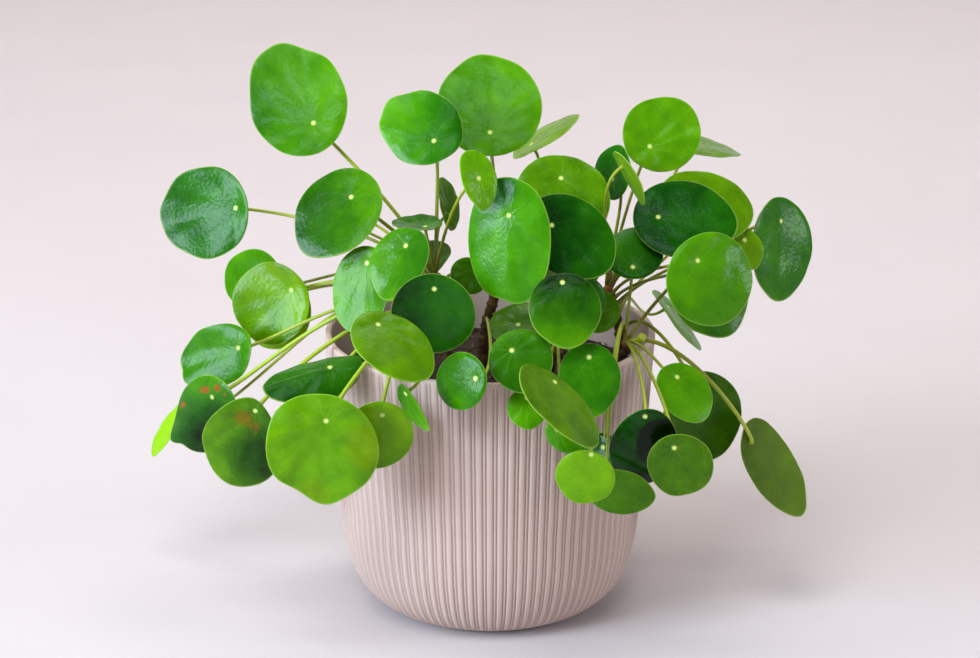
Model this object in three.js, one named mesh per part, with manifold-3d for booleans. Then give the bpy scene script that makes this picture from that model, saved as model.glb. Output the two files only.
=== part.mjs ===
// A potted Chinese money plant: a ribbed round pot filled with soil, four woody shoots that carry
// the leaf stalks, and the round leaf blades, each held at a spot inside its margin.
// Millimetres, +Z up, origin at the middle of the pot's flat underside, the front towards -Y.
import * as THREE from "three";
import { mergeVertices } from "three/addons/utils/BufferGeometryUtils.js";
import Module from "manifold-3d";

const wasm = await Module();
wasm.setup();

// Pot
const potHeight = 163;
const rimRadius = 95;
const beltRadius = 88;
const beltHeight = 65;
const baseRadius = 55;
const wallThickness = 4;
const floorThickness = 6;
const ribCount = 96;
const ribDepth = 1.3;
const ribFadeHeight = 7;
const sideSteps = 4;
const upperSteps = 2;
const cutAbove = 5;

// Soil
const soilTop = 134;
const soilDome = 3;
const soilLump = 1.2;
const lumpLength = 8;
const moundShare = 0.55;
const moundRise = 0.7;
const soilSides = 24;

// Clearance between pieces that touch, and how deep a shoot stands in the soil
const seatGap = 0.3;
const stemHoleGap = 0.45;
const pitDepth = 1.2;
const plantingDepth = 14;

// Leaves
const bladeThickness = 1.1;
const largeBlade = 54;
const stalkRadius = 1;
const stalkSides = 4;
const stalkSteps = 5;
const leaveShare = 0.3;
const climbReach = 0.25;
const rimSamples = 40;
const arriveShare = 0.25;
const droops = [0, 0.3, 0.6, 0.9];
const climbs = [0.7, 1, 1.4, 2, 2.8, 3.8, 5];
const creaseRadius = 3;
const domeShare = 1.6;
const tipDraw = 0.04;
const tipSharpness = 6;
const waveCount = 3;
const stemSides = 8;
const stemSteps = 10;

// The leaf places are given in a frame that leans back by this angle, with its origin at the
// middle of the pot's rim: x to the right, y away from the front, z up along the leaning plane.
const frameLean = THREE.MathUtils.degToRad(18.4);
const leaningFrame = new THREE.Matrix4().makeRotationX(-frameLean).setPosition(0, 0, potHeight);

// Woody stems from the soil to the crown that bears the youngest leaves, as points in the part's frame
const stemFoot = soilTop - plantingDepth;
const stems = {
  main: {
    shoot: "shoot_main",
    radius: 3.3,
    path: [[-2, 8, stemFoot], [-4, 3, 150], [-2, 0, 166], [3, 0, 185], [6, 0, 214]],
  },
  left: {
    shoot: "shoot_left",
    radius: 3,
    path: [[-22, -4, stemFoot], [-25, -9, 155], [-28, -15, 180], [-31, -20, 203]],
  },
  front: {
    shoot: "shoot_front",
    radius: 2.6,
    path: [[30, -30, stemFoot], [34, -38, 152], [39, -46, 173]],
  },
  right: {
    shoot: "shoot_right",
    radius: 2.8,
    path: [[70, 4, stemFoot], [75, 0, 150], [73, 0, 170], [67, 0, 190]],
  },
  rightLow: {
    shoot: "shoot_right",
    radius: 2.4,
    path: [[75, 0, 147], [78, -18, 156], [76, -36, 167]],
  },
};
const bud = { stem: "rightLow", place: [85, -39, 170.5], radius: 2.7 };

// One leaf: its stem, how far up that stem its stalk leaves (0 to 1), the place of the spot where the
// stalk holds the blade [right, towards the front, up] in the leaning frame, its size [length, width,
// share of the length behind the spot, share of the width that the blade lies to one side], its pose in
// degrees [direction of the tip, tilt away from the front, direction of that tilt], and its form [dome,
// fold along the midrib, wave of the margin].
function leaf(name, stem, root, place, size, pose, form = [0.05, 0.05, 0.01]) {
  return { name, stem, root, place, size, pose, form };
}

const leaves = [
  leaf("leaf_01", "left", 0.98, [-99, 38, 115.5], [69, 56, 0.26, 0.07], [110, 18, 130], [-0.05, 0.02, 0.02]),
  leaf("leaf_02", "left", 0.93, [-145, 7, 68], [55, 53, 0.16], [188, 25, 180], [-0.08, 0.05, 0.02]),
  leaf("leaf_03", "left", 0.96, [-78, 56, 74], [55, 48, 0.3], [228, 25, 133]),
  leaf("leaf_04", "left", 0.9, [-84, -20, 72], [50, 47, 0.35], [200, 30, 140]),
  leaf("leaf_05", "left", 0.8, [-117.5, -35, 25], [47, 49, 0.2], [215, 25, 190], [-0.06, 0.05, 0.02]),
  leaf("leaf_06", "left", 0.7, [-122, -56, 20], [48, 46, 0.25], [235, 25, 200]),
  leaf("leaf_07", "left", 0.85, [-138, -72, 27], [42, 36, 0.3], [150, 30, 150]),
  leaf("leaf_08", "left", 0.74, [-145, -25, -10], [50, 36, 0.15], [202, 30, 180], [-0.06, 0.05, 0.03]),
  leaf("leaf_09", "left", 0.7, [-161, -2, -40], [57, 42, 0.25, 0.1], [222, 40, 200], [0.02, -0.25, 0.02]),
  leaf("leaf_10", "left", 0.66, [-134, 55, -48.5], [58, 42, 0.2], [254, 30, 240], [0.06, 0.1, 0.03]),
  leaf("leaf_11", "left", 0.68, [-88, 67.5, -21], [55, 30, 0.325, 0.05], [197, 45, 90], [0, -0.5, 0.01]),
  leaf("leaf_12", "left", 0.72, [-87, 100, -49], [62, 61, 0.24], [262, 15, 250], [0.04, 0.08, 0.02]),
  leaf("leaf_13", "left", 0.64, [-58, 93, -46.5], [38, 37, 0.2], [262, 20, 280], [0.05, 0.04, 0.01]),
  leaf("leaf_14", "left", 0.5, [-45, 108, -34.5], [29, 17, 0.2], [297, 60, 215], [0.04, 0.3, 0]),
  leaf("leaf_15", "left", 0.86, [-66, 59, 36], [47, 38, 0.2], [262, 30, 180], [-0.06, 0.1, 0.01]),
  leaf("leaf_16", "left", 0.76, [-60, 112, -3], [49, 42, 0.28], [320, 45, 65], [0.03, 0.04, 0.01]),
  leaf("leaf_17", "left", 0.94, [-43, 78, 44], [41, 38, 0.27], [240, 35, 150], [0.04, 0.25, 0]),
  leaf("leaf_18", "left", 0.83, [-30, 96, 21.5], [45, 46, 0.19], [268, 20, 250], [0.06, 0.12, 0]),
  leaf("leaf_19", "main", 0.5, [-10.5, 110, -23], [34, 31, 0.2], [190, 30, 180], [0.15, 0.04, 0]),
  leaf("leaf_20", "main", 0.85, [10, 98, 61], [66, 49.5, 0.31, -0.02], [270, 24, 192], [0.05, -0.1, 0.01]),
  leaf("leaf_21", "left", 0.97, [-29, 51, 106], [50, 43, 0.25], [140, 20, 120], [0.08, 0.02, 0.04]),
  leaf("leaf_22", "main", 0.98, [0, 16, 112], [62, 60, 0.24], [91, 20, 90], [0.01, 0.02, 0.01]),
  leaf("leaf_23", "left", 0.99, [-6, 106, 83], [32, 22, 0.42], [285, 32, 20], [0.14, 0.2, 0]),
  leaf("leaf_24", "main", 0.96, [39.5, 31, 87], [53, 55, 0.28], [275, 25, 70], [0.04, 0.03, 0.01]),
  leaf("leaf_25", "main", 0.9, [34, 66, 57], [54, 47, 0.3], [322, 20, 45], [-0.14, 0.04, 0.01]),
  leaf("leaf_26", "right", 0.98, [95, -12, 106], [46, 45, 0.36], [45, 15, 60], [-0.07, 0.03, 0.01]),
  leaf("leaf_27", "right", 0.96, [93, 38, 63], [57, 50, 0.25], [355, 25, 90], [0.04, 0.03, 0.01]),
  leaf("leaf_28", "rightLow", 0.96, [81, 47, 36], [34, 33, 0.22], [85, 30, 90], [0.06, 0.02, 0.01]),
  leaf("leaf_29", "right", 0.9, [114, 68, 37.5], [50, 54, 0.25], [310, 20, 20], [0.12, 0.03, 0.01]),
  leaf("leaf_30", "right", 0.86, [118, 37, 33.5], [52, 51, 0.25], [300, 25, 20], [0.1, 0.03, 0.01]),
  leaf("leaf_31", "right", 0.94, [114, 13, 70], [57, 48, 0.35], [0, 30, 60]),
  leaf("leaf_32", "rightLow", 0.9, [170, -21, 63], [59, 50, 0.24], [270, 40, 0], [0.05, 0.1, 0.01]),
  leaf("leaf_33", "front", 0.98, [39, 101.5, 26], [40, 39, 0.14], [275, 20, 90], [0.09, 0.03, 0]),
  leaf("leaf_34", "main", 0.55, [16, 20, 2.5], [47, 40, 0.35], [345, 45, 90]),
  leaf("leaf_35", "front", 0.92, [13, 105, -8.5], [36, 35, 0.24], [285, 15, 100], [0.07, 0.04, 0]),
  leaf("leaf_36", "front", 0.94, [35, 124, -31], [55, 39, 0.33, -0.25], [316, 55, 46], [0.04, 0.05, 0.01]),
  leaf("leaf_37", "front", 0.97, [53, 100, -14], [39, 34, 0.2], [272, 15, 60], [0.06, 0.03, 0.01]),
  leaf("leaf_38", "front", 0.9, [54, 114, -70], [29, 32, 0.15], [250, 20, 250], [0.1, 0.04, 0]),
  leaf("leaf_39", "rightLow", 0.95, [87, 102, -52], [49, 34, 0.19], [255, 25, 250], [0.22, 0.04, 0]),
  leaf("leaf_40", "rightLow", 0.92, [105, 107, -63.5], [35, 36, 0.18], [250, 20, 250]),
  leaf("leaf_41", "rightLow", 0.98, [102.5, 56, -27.5], [35, 31, 0.25], [310, 30, 50], [0.05, 0.1, 0]),
  leaf("leaf_42", "right", 0.5, [117, 20, -38], [54, 49, 0.25], [290, 25, 330]),
  leaf("leaf_43", "rightLow", 0.97, [145, 20, -66.5], [64, 34, 0.17, -0.15], [301, 145, 180], [0.06, 0.15, 0.01]),
  leaf("leaf_44", "left", 0.9, [-8, 50, 34], [22, 22, 0.2], [230, 25, 230]),
  leaf("leaf_45", "left", 1, [-36, 52, 57], [27, 30, 0.35], [180, 72, 95], [-0.16, 0.05, 0]),
  leaf("leaf_46", "left", 1, [-23, 12, 65], [30, 22, 0.3], [100, 62, 10], [0.02, 0.2, 0]),
  leaf("leaf_47", "main", 0.95, [25, -77, 112], [46, 40, 0.3], [35, 72, 125]),
  leaf("leaf_48", "right", 0.95, [118, -69, 112], [48, 44, 0.3], [355, 72, 80]),
  leaf("leaf_49", "right", 0.99, [70, 10, 86], [31, 30, 0.4], [80, 50, 180], [0.05, 0.15, 0]),
  leaf("leaf_50", "right", 0.8, [146, 6, 51], [24, 19, 0.3], [290, 20, 40]),
  leaf("leaf_51", "front", 1, [50, 68, 21.5], [24, 24, 0.25], [300, 20, 0]),
  leaf("leaf_52", "right", 0.7, [60, 43, 5], [26, 22, 0.3], [70, 25, 90]),
  leaf("leaf_53", "rightLow", 0.85, [63, 80, -87], [38, 26, 0.3], [345, 20, 270]),
];

// Small leaves, and leaves round the back, that grew as one piece with their shoot
const shootLeaves = [
  leaf("under_left", "left", 0.68, [-185, -38, -50], [41, 15, 0.3], [235, 55, 150], [0.04, 0.1, 0]),
  leaf("fold_right", "right", 1, [74, 55, 90], [33, 20, 0.3], [300, 105, 30], [0.02, 0.2, 0]),
  leaf("tuft_front_1", "front", 0.8, [20, 98, -37], [22, 22, 0.25], [270, 20, 90]),
  leaf("tuft_front_2", "front", 0.84, [36, 102, -54], [24, 20, 0.25], [320, 30, 250]),
  leaf("tuft_right", "rightLow", 0.8, [63, 72, -64], [32, 22, 0.25], [250, 30, 180]),
  leaf("back_right", "right", 0.75, [110, -104, 14], [46, 36, 0.3], [310, 75, 40]),
  leaf("back_1", "main", 0.8, [24, -62, 62], [56, 52, 0.28], [60, 120, 80]),
  leaf("back_2", "left", 0.75, [-38, -95, 42], [54, 50, 0.28], [200, 115, 120]),
  leaf("back_3", "right", 0.7, [112, -60, 52], [52, 48, 0.28], [20, 120, 60]),
  leaf("back_4", "main", 0.75, [42, -80, 38], [50, 46, 0.28], [300, 110, 90]),
  leaf("back_5", "left", 0.8, [-90, -84, 72], [52, 50, 0.28], [160, 115, 130]),
];

// The pot's outer side as [radius, height], or the same side drawn in by a wall and raised by a floor:
// a bowl that turns up from the foot to the belt, then a side that flares gently to the rim
function potSide(inset, raise) {
  const footTurn = new THREE.Vector2(beltRadius * 0.91, beltHeight * 0.03);
  const bellyTurn = new THREE.Vector2(beltRadius * 0.99, beltHeight * 0.46);
  const flareTurn = new THREE.Vector2(beltRadius * 1.045, beltHeight + (potHeight - beltHeight) * 0.41);
  const foot = new THREE.Vector2(baseRadius, 0);
  const belt = new THREE.Vector2(beltRadius, beltHeight);
  const bowl = new THREE.CubicBezierCurve(foot, footTurn, bellyTurn, belt);
  const flare = new THREE.QuadraticBezierCurve(belt, flareTurn, new THREE.Vector2(rimRadius, potHeight));
  const points = [...bowl.getPoints(sideSteps), ...flare.getPoints(upperSteps).slice(1)];
  const squeeze = (potHeight - raise) / potHeight;
  return points.map((p) => new THREE.Vector2(p.x - inset, raise + p.y * squeeze));
}

// A closed solid from a geometry's triangles, faces outwards
function solidOf(geometry) {
  const bare = new THREE.BufferGeometry();
  bare.setAttribute("position", geometry.getAttribute("position"));
  bare.setIndex(geometry.getIndex());
  const merged = mergeVertices(bare, 1e-3);
  const kept = [];
  const index = merged.getIndex().array;
  for (let i = 0; i < index.length; i += 3) {
    const [a, b, c] = index.slice(i, i + 3);
    if (a !== b && b !== c && c !== a) kept.push(a, b, c);
  }
  const vertProperties = merged.getAttribute("position").array;
  const made = (triVerts) => new wasm.Manifold(new wasm.Mesh({ numProp: 3, vertProperties, triVerts }));
  const solid = made(new Uint32Array(kept));
  return solid.volume() > 0 ? solid : made(new Uint32Array(kept.reverse()));
}

// The triangles of a solid as a geometry
function geometryOf(solid) {
  const { vertProperties, triVerts } = solid.getMesh();
  const geometry = new THREE.BufferGeometry();
  geometry.setAttribute("position", new THREE.BufferAttribute(vertProperties, 3));
  geometry.setIndex(new THREE.BufferAttribute(triVerts, 1));
  geometry.computeVertexNormals();
  return geometry;
}

function turned(profile, sides) {
  return new THREE.LatheGeometry(profile, sides).rotateX(Math.PI / 2);
}

// A closed tube of one radius along a curve
function tube(curve, radius, sides, steps) {
  const section = new THREE.Shape();
  for (let side = 0; side < sides; side++) {
    const angle = (side / sides) * 2 * Math.PI;
    const draw = side ? "lineTo" : "moveTo";
    section[draw](radius * Math.cos(angle), radius * Math.sin(angle));
  }
  return new THREE.ExtrudeGeometry(section, { extrudePath: curve, steps, curveSegments: 1 });
}

// The pot: every second column of the turned outside is drawn in, which leaves a rib between two grooves
function makePot() {
  const profile = [new THREE.Vector2(0, 0), ...potSide(0, 0), new THREE.Vector2(0, potHeight)];
  const outside = new THREE.LatheGeometry(profile, ribCount * 2);
  const position = outside.getAttribute("position");
  for (let i = 0; i < position.count; i++) {
    const inGroove = Math.floor(i / profile.length) % 2 === 1;
    const radius = Math.hypot(position.getX(i), position.getZ(i));
    if (!inGroove || radius < baseRadius / 2) continue;
    const depth = ribDepth * THREE.MathUtils.smoothstep(position.getY(i), 0, ribFadeHeight);
    const scale = 1 - depth / radius;
    position.setXYZ(i, position.getX(i) * scale, position.getY(i), position.getZ(i) * scale);
  }
  const mouth = new THREE.Vector2(rimRadius - wallThickness, potHeight + cutAbove);
  const hollow = [
    new THREE.Vector2(0, floorThickness),
    ...potSide(wallThickness, floorThickness),
    mouth,
    new THREE.Vector2(0, mouth.y),
  ];
  return solidOf(outside.rotateX(Math.PI / 2)).subtract(solidOf(turned(hollow, soilSides * 2)));
}

function stemCurve(stem) {
  const points = stem.path.map(([x, y, z]) => new THREE.Vector3(x, y, z));
  return new THREE.CatmullRomCurve3(points);
}

// The soil: it fills the pot to soilTop, rises a little to the middle, and has a hole for each stem
function makeSoil() {
  const side = potSide(wallThickness + seatGap, floorThickness + seatGap);
  const below = side.filter((p) => p.y < soilTop);
  const last = below[below.length - 1];
  const edge = last.clone().lerp(side[below.length], (soilTop - last.y) / (side[below.length].y - last.y));
  const profile = [
    new THREE.Vector2(0, floorThickness + seatGap),
    ...below,
    edge,
    new THREE.Vector2(edge.x * moundShare, soilTop + soilDome * moundRise),
    new THREE.Vector2(0, soilTop + soilDome),
  ];
  const bulk = turned(profile, soilSides);
  const position = bulk.getAttribute("position");
  for (let i = 0; i < position.count; i++) {
    const lump = soilLump * Math.sin(position.getX(i) / lumpLength) * Math.cos(position.getY(i) / lumpLength);
    if (position.getZ(i) > soilTop + 1) position.setZ(i, position.getZ(i) + lump);
  }
  let soil = solidOf(bulk);
  for (const stem of Object.values(stems)) {
    const curve = stemCurve(stem);
    if (curve.points[0].z > stemFoot) continue;
    soil = soil.subtract(solidOf(tube(curve, stem.radius + stemHoleGap, stemSides, stemSteps)));
    const pitRadius = stem.radius + 2 * stemHoleGap;
    const pit = new THREE.CylinderGeometry(pitRadius, pitRadius, pitDepth, stemSides);
    pit.rotateX(Math.PI / 2).translate(curve.points[0].x, curve.points[0].y, stemFoot);
    soil = soil.subtract(solidOf(pit));
  }
  return soil;
}

// A point of the blade's middle surface: angle round the blade from its tip, and reach from the spot
// (0) to the margin (1). The tip is along +x, the upper face towards +z, the spot at the origin.
function bladePoint({ size, form }, angle, reach) {
  const [length, width, base, aside = 0] = size;
  const [dome, fold, wave] = form;
  const tip = tipDraw * Math.max(0, Math.cos(angle)) ** tipSharpness;
  const x = reach * length * (0.5 - base + Math.cos(angle) / 2 + tip);
  const y = reach * width * (aside + Math.sin(angle) / 2);
  const crease = fold * (Math.hypot(y, creaseRadius) - creaseRadius);
  const drop = (domeShare * dome * (x * x + y * y)) / length;
  const ripple = wave * length * reach ** 2 * Math.sin(waveCount * angle + length);
  return new THREE.Vector3(x, y, crease - drop + ripple);
}

// A closed blade of one thickness, with both faces split into triangles alike
function bladeGeometry(plan) {
  const large = plan.size[0] >= largeBlade;
  const reaches = [0.55, 1];
  const sides = large ? 16 : 12;
  const points = [];
  for (const lift of [bladeThickness / 2, -bladeThickness / 2]) {
    points.push(new THREE.Vector3(0, 0, lift));
    for (const reach of reaches) {
      for (let side = 0; side < sides; side++) {
        const point = bladePoint(plan, (side / sides) * 2 * Math.PI, reach);
        points.push(point.add(new THREE.Vector3(0, 0, lift)));
      }
    }
  }
  const under = points.length / 2;
  const at = (ring, side) => 1 + ring * sides + (side % sides);
  const index = [];
  const bothFaces = (a, b, c) => index.push(a, b, c, under + a, under + c, under + b);
  for (let side = 0; side < sides; side++) {
    bothFaces(0, at(0, side), at(0, side + 1));
    for (let ring = 1; ring < reaches.length; ring++) {
      bothFaces(at(ring - 1, side), at(ring, side), at(ring, side + 1));
      bothFaces(at(ring - 1, side), at(ring, side + 1), at(ring - 1, side + 1));
    }
    const here = at(reaches.length - 1, side);
    const next = at(reaches.length - 1, side + 1);
    index.push(here, under + here, under + next, here, under + next, next);
  }
  return new THREE.BufferGeometry().setFromPoints(points).setIndex(index);
}

// Where a blade sits and how it is turned, in the leaning frame
function bladeSeat({ place, pose }) {
  const [tip, tilt, lean] = pose.map(THREE.MathUtils.degToRad);
  const spot = new THREE.Vector3(place[0], -place[1], place[2]);
  const away = Math.sin(tilt);
  const facing = new THREE.Vector3(away * Math.cos(lean), -Math.cos(tilt), away * Math.sin(lean));
  const along = new THREE.Vector3(Math.cos(tip), 0, Math.sin(tip));
  along.y = -(along.dot(facing) / facing.y);
  along.normalize();
  const across = new THREE.Vector3().crossVectors(facing, along);
  return new THREE.Matrix4().makeBasis(along, across, facing).setPosition(spot);
}

// True where a stalk along the curve passes over the pot's rim and not through it
function clearsRim(curve) {
  return curve.getPoints(rimSamples).every((p) => {
    const radius = Math.hypot(p.x, p.y);
    const inside = radius < rimRadius - wallThickness - 2 * stalkRadius;
    const outside = radius > rimRadius + 2 * stalkRadius;
    return inside || outside || p.z > potHeight + 2 * stalkRadius;
  });
}

// The stalk rises out of its stem, bends over and meets the blade's underside square on
function stalkCurve(plan) {
  const seat = new THREE.Matrix4().multiplyMatrices(leaningFrame, bladeSeat(plan));
  const facing = new THREE.Vector3().setFromMatrixColumn(seat, 2);
  const held = new THREE.Vector3().setFromMatrixPosition(seat);
  const start = stemCurve(stems[plan.stem]).getPointAt(plan.root);
  const span = start.distanceTo(held);
  let curve = null;
  for (const droop of droops) {
    const end = held.clone().addScaledVector(facing, -bladeThickness / 2 - seatGap - droop * stalkRadius);
    const behind = arriveShare * (1 - droop);
    const arrive = end.clone().addScaledVector(facing, -span * behind);
    arrive.z += span * arriveShare * droop * 2;
    for (const climb of climbs) {
      const outward = end.clone().sub(start).normalize().add(new THREE.Vector3(0, 0, climb)).normalize();
      const leave = start.clone().addScaledVector(outward, span * leaveShare * (1 + climb * climbReach));
      curve = new THREE.CubicBezierCurve3(start, leave, arrive, end);
      if (clearsRim(curve)) return curve;
    }
  }
  return curve;
}

function makeShoot(name) {
  let shoot = null;
  const join = (solid) => {
    shoot = shoot ? shoot.add(solid) : solid;
  };
  for (const stem of Object.values(stems)) {
    if (stem.shoot !== name) continue;
    join(solidOf(tube(stemCurve(stem), stem.radius, stemSides, stemSteps)));
  }
  if (stems[bud.stem].shoot === name) {
    const crown = stemCurve(stems[bud.stem]).getPoint(1);
    const neck = new THREE.LineCurve3(crown, new THREE.Vector3(...bud.place));
    join(solidOf(tube(neck, stalkRadius, stalkSides, 1)));
    join(solidOf(new THREE.SphereGeometry(bud.radius, 8, 6).translate(...bud.place)));
  }
  for (const plan of [...leaves, ...shootLeaves]) {
    if (stems[plan.stem].shoot !== name) continue;
    join(solidOf(tube(stalkCurve(plan), stalkRadius, stalkSides, stalkSteps)));
  }
  for (const plan of shootLeaves) {
    if (stems[plan.stem].shoot !== name) continue;
    const seat = new THREE.Matrix4().multiplyMatrices(leaningFrame, bladeSeat(plan));
    const seated = new THREE.Matrix4().makeTranslation(0, 0, -bladeThickness / 2 - seatGap);
    join(solidOf(bladeGeometry(plan).applyMatrix4(seated.premultiply(seat))));
  }
  return shoot;
}

const colours = {
  pot: new THREE.MeshStandardMaterial({ color: "#d2c3bf", roughness: 0.75, metalness: 0 }),
  soil: new THREE.MeshStandardMaterial({ color: "#2a1c14", roughness: 1, metalness: 0 }),
  shoot: new THREE.MeshStandardMaterial({ color: "#7a6a20", roughness: 0.6, metalness: 0 }),
  blade: new THREE.MeshStandardMaterial({ color: "#3f8a0a", roughness: 0.35, metalness: 0 }),
};

function addMesh(parent, name, geometry, material) {
  const mesh = new THREE.Mesh(geometry, material.clone());
  mesh.name = name;
  parent.add(mesh);
  return mesh;
}

const plant = new THREE.Group();
addMesh(plant, "pot", geometryOf(makePot()), colours.pot);
addMesh(plant, "soil", geometryOf(makeSoil()), colours.soil);
for (const name of new Set(Object.values(stems).map((stem) => stem.shoot))) {
  addMesh(plant, name, geometryOf(makeShoot(name)), colours.shoot);
}
const foliage = new THREE.Group();
foliage.applyMatrix4(leaningFrame);
plant.add(foliage);
for (const plan of leaves) {
  const blade = addMesh(foliage, plan.name, bladeGeometry(plan), colours.blade);
  blade.applyMatrix4(bladeSeat(plan));
}

export default plant;
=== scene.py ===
"""Potted Chinese money plant: a ribbed ceramic pot, its potting soil, four woody shoots with their leaf
stalks, and sixty-four round leaf blades.

Lengths are in millimetres until a piece is finished, which turns them to metres. The front is towards -Y.
"""
import logging
import math
import random
from dataclasses import dataclass
from dataclasses import field
from enum import Enum

import bmesh
import bpy
from mathutils import Euler
from mathutils import Matrix
from mathutils import Vector
from mathutils import geometry
from mathutils import noise


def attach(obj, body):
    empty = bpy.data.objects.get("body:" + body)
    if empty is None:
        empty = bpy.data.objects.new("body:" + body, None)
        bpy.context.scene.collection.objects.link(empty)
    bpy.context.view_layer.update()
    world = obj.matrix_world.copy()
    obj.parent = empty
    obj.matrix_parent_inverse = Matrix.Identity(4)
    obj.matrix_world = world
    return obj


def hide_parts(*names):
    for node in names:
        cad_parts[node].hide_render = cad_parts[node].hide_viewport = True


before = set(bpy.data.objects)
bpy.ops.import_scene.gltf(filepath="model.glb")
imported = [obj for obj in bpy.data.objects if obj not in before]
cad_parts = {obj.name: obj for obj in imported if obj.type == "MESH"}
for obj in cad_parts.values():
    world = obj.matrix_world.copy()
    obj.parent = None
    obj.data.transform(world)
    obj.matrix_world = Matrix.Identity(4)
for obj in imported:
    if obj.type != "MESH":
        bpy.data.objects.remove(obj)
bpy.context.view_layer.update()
METRES = 0.001
UP = Vector((0, 0, 1))
LOG = logging.getLogger("plant")

# Numbers that more than one piece uses; the camera's pitch also tilts the frame of the leaves
POT_HEIGHT = 163.0
RIM_RADIUS = 95.0
WALL = 4.0
FLOOR = 6.0
BLADE_HOLD = 0.85
STALK_RADIUS = 1.0
CAMERA_PITCH = 18.4

Source = bpy.types.Node | bpy.types.NodeSocket


def linear(colour: str) -> tuple[float, float, float, float]:
    """Turns an sRGB hex value to linear light.

    Args:
        colour: the value as "#rrggbb".

    Returns:
        Red, green, blue and an alpha of 1.
    """
    parts = [int(colour[start : start + 2], 16) / 255 for start in (1, 3, 5)]
    light = [part / 12.92 if part <= 0.04045 else ((part + 0.055) / 1.055) ** 2.4 for part in parts]
    return (light[0], light[1], light[2], 1.0)


def eased(value: float, low: float, high: float) -> float:
    """Share of the way from low to high, eased at both ends.

    Args:
        value: the number to place.
        low: where the share is 0.
        high: where the share is 1.

    Returns:
        The share, from 0 to 1.
    """
    share = min(max((value - low) / (high - low), 0.0), 1.0)
    return share * share * (3 - 2 * share)


def feed(node: bpy.types.Node, links: dict[str | int, Source]) -> None:
    """Links the inputs of a node.

    Args:
        node: the node to feed.
        links: for each named or numbered input the output, or the node whose first output in use, feeds it.
    """
    for name, source in links.items():
        if isinstance(source, bpy.types.Node):
            source = next(output for output in source.outputs if output.enabled)
        node.id_data.links.new(source, node.inputs[name])


def add_node(
    tree: bpy.types.NodeTree,
    kind: str,
    settings: dict[str | int, object] | None = None,
    links: dict[str | int, Source] | None = None,
) -> bpy.types.Node:
    """Adds one node with its settings and links.

    Args:
        tree: the node tree that gets the node.
        kind: the node's type name, without the word ShaderNode that starts it.
        settings: a property's value by its name, or an input's value by its name or place.
        links: what feeds each named or numbered input.

    Returns:
        The new node.
    """
    node = tree.nodes.new("ShaderNode" + kind)
    for name, value in (settings or {}).items():
        if isinstance(name, str) and hasattr(node, name):
            setattr(node, name, value)
        else:
            node.inputs[name].default_value = value
    feed(node, links or {})
    return node


def colour_stops(node: bpy.types.Node, stops: list[tuple[float, str]]) -> bpy.types.Node:
    """Gives a colour ramp its stops.

    Args:
        node: the colour ramp.
        stops: each stop's place from 0 to 1 and its sRGB hex value.

    Returns:
        The ramp.
    """
    ramp = node.color_ramp
    while len(ramp.elements) < len(stops):
        ramp.elements.new(1.0)
    for element, (place, colour) in zip(ramp.elements, stops):
        element.position = place
        element.color = linear(colour)
    return node


class Finish:
    """A surface finish, which makes its node-based material once for every piece that wears it."""

    name: str = ""

    def material(self) -> bpy.types.Material:
        """The finish's material, made the first time it is asked for."""
        made = bpy.data.materials.get(self.name)
        if made is None:
            made = bpy.data.materials.new(self.name)
            made.use_nodes = True
            tree = made.node_tree
            tree.nodes.clear()
            shader = add_node(tree, "BsdfPrincipled")
            add_node(tree, "OutputMaterial", {}, {"Surface": shader})
            self.dress(tree, shader)
        return made

    def dress(self, tree: bpy.types.NodeTree, shader: bpy.types.Node) -> None:
        """Adds the nodes that drive the shader.

        Args:
            tree: the material's node tree.
            shader: its Principled shader.
        """
        raise NotImplementedError


@dataclass(frozen=True)
class Stoneware(Finish):
    """Matte pinkish-white stoneware, pressed in a ribbed mould and fired without a glossy glaze.

    To the eye it is chalky and soft: the ribs stay light, the grooves are darkened to a warm grey-brown as
    painted shade, and a fine sandy grain keeps any highlight broad and dull.
    """

    name: str = "stoneware_matte_pressed"
    rib: str = "#cbb3a8"
    cloud: str = "#c2aba1"
    groove: str = "#aa9288"
    roughness: float = 0.62

    def dress(self, tree: bpy.types.NodeTree, shader: bpy.types.Node) -> None:
        """Adds the clouding of the clay, the painted shade in the grooves and the sandy grain."""
        place = add_node(tree, "TexCoord").outputs["Object"]
        height = add_node(tree, "Attribute", {"attribute_name": "rib"}).outputs["Fac"]
        soft = {"Scale": 28.0, "Detail": 4.0, "Roughness": 0.55}
        cloud = add_node(tree, "TexNoise", soft, {"Vector": place})
        clay = {"data_type": "RGBA", 6: linear(self.rib), 7: linear(self.cloud)}
        mixed = add_node(tree, "Mix", clay, {0: cloud})
        # Painted shade: the colour darkens towards the bottom of each groove
        shade = add_node(tree, "MapRange", {"From Min": 0.0, "From Max": 0.75}, {"Value": height})
        dark = linear(self.groove)
        ribbed = add_node(tree, "Mix", {"data_type": "RGBA", 6: dark}, {0: shade, 7: mixed})
        grit = add_node(tree, "TexNoise", {"Scale": 1400.0, "Detail": 3.0}, {"Vector": place})
        sparse = {"From Min": 0.66, "From Max": 0.78, "To Min": 0.0, "To Max": 0.35}
        speck = add_node(tree, "MapRange", sparse, {"Value": grit})
        speckled = add_node(tree, "Mix", {"data_type": "RGBA", 7: dark}, {0: speck, 6: ribbed})
        span = {"To Min": self.roughness - 0.08, "To Max": self.roughness + 0.14}
        dull = add_node(tree, "MapRange", span, {"Value": cloud})
        bump = add_node(tree, "Bump", {"Strength": 0.35, "Distance": 0.00015}, {"Height": grit})
        feed(shader, {"Base Color": speckled, "Roughness": dull, "Normal": bump})
        shader.inputs["IOR"].default_value = 1.5


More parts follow.
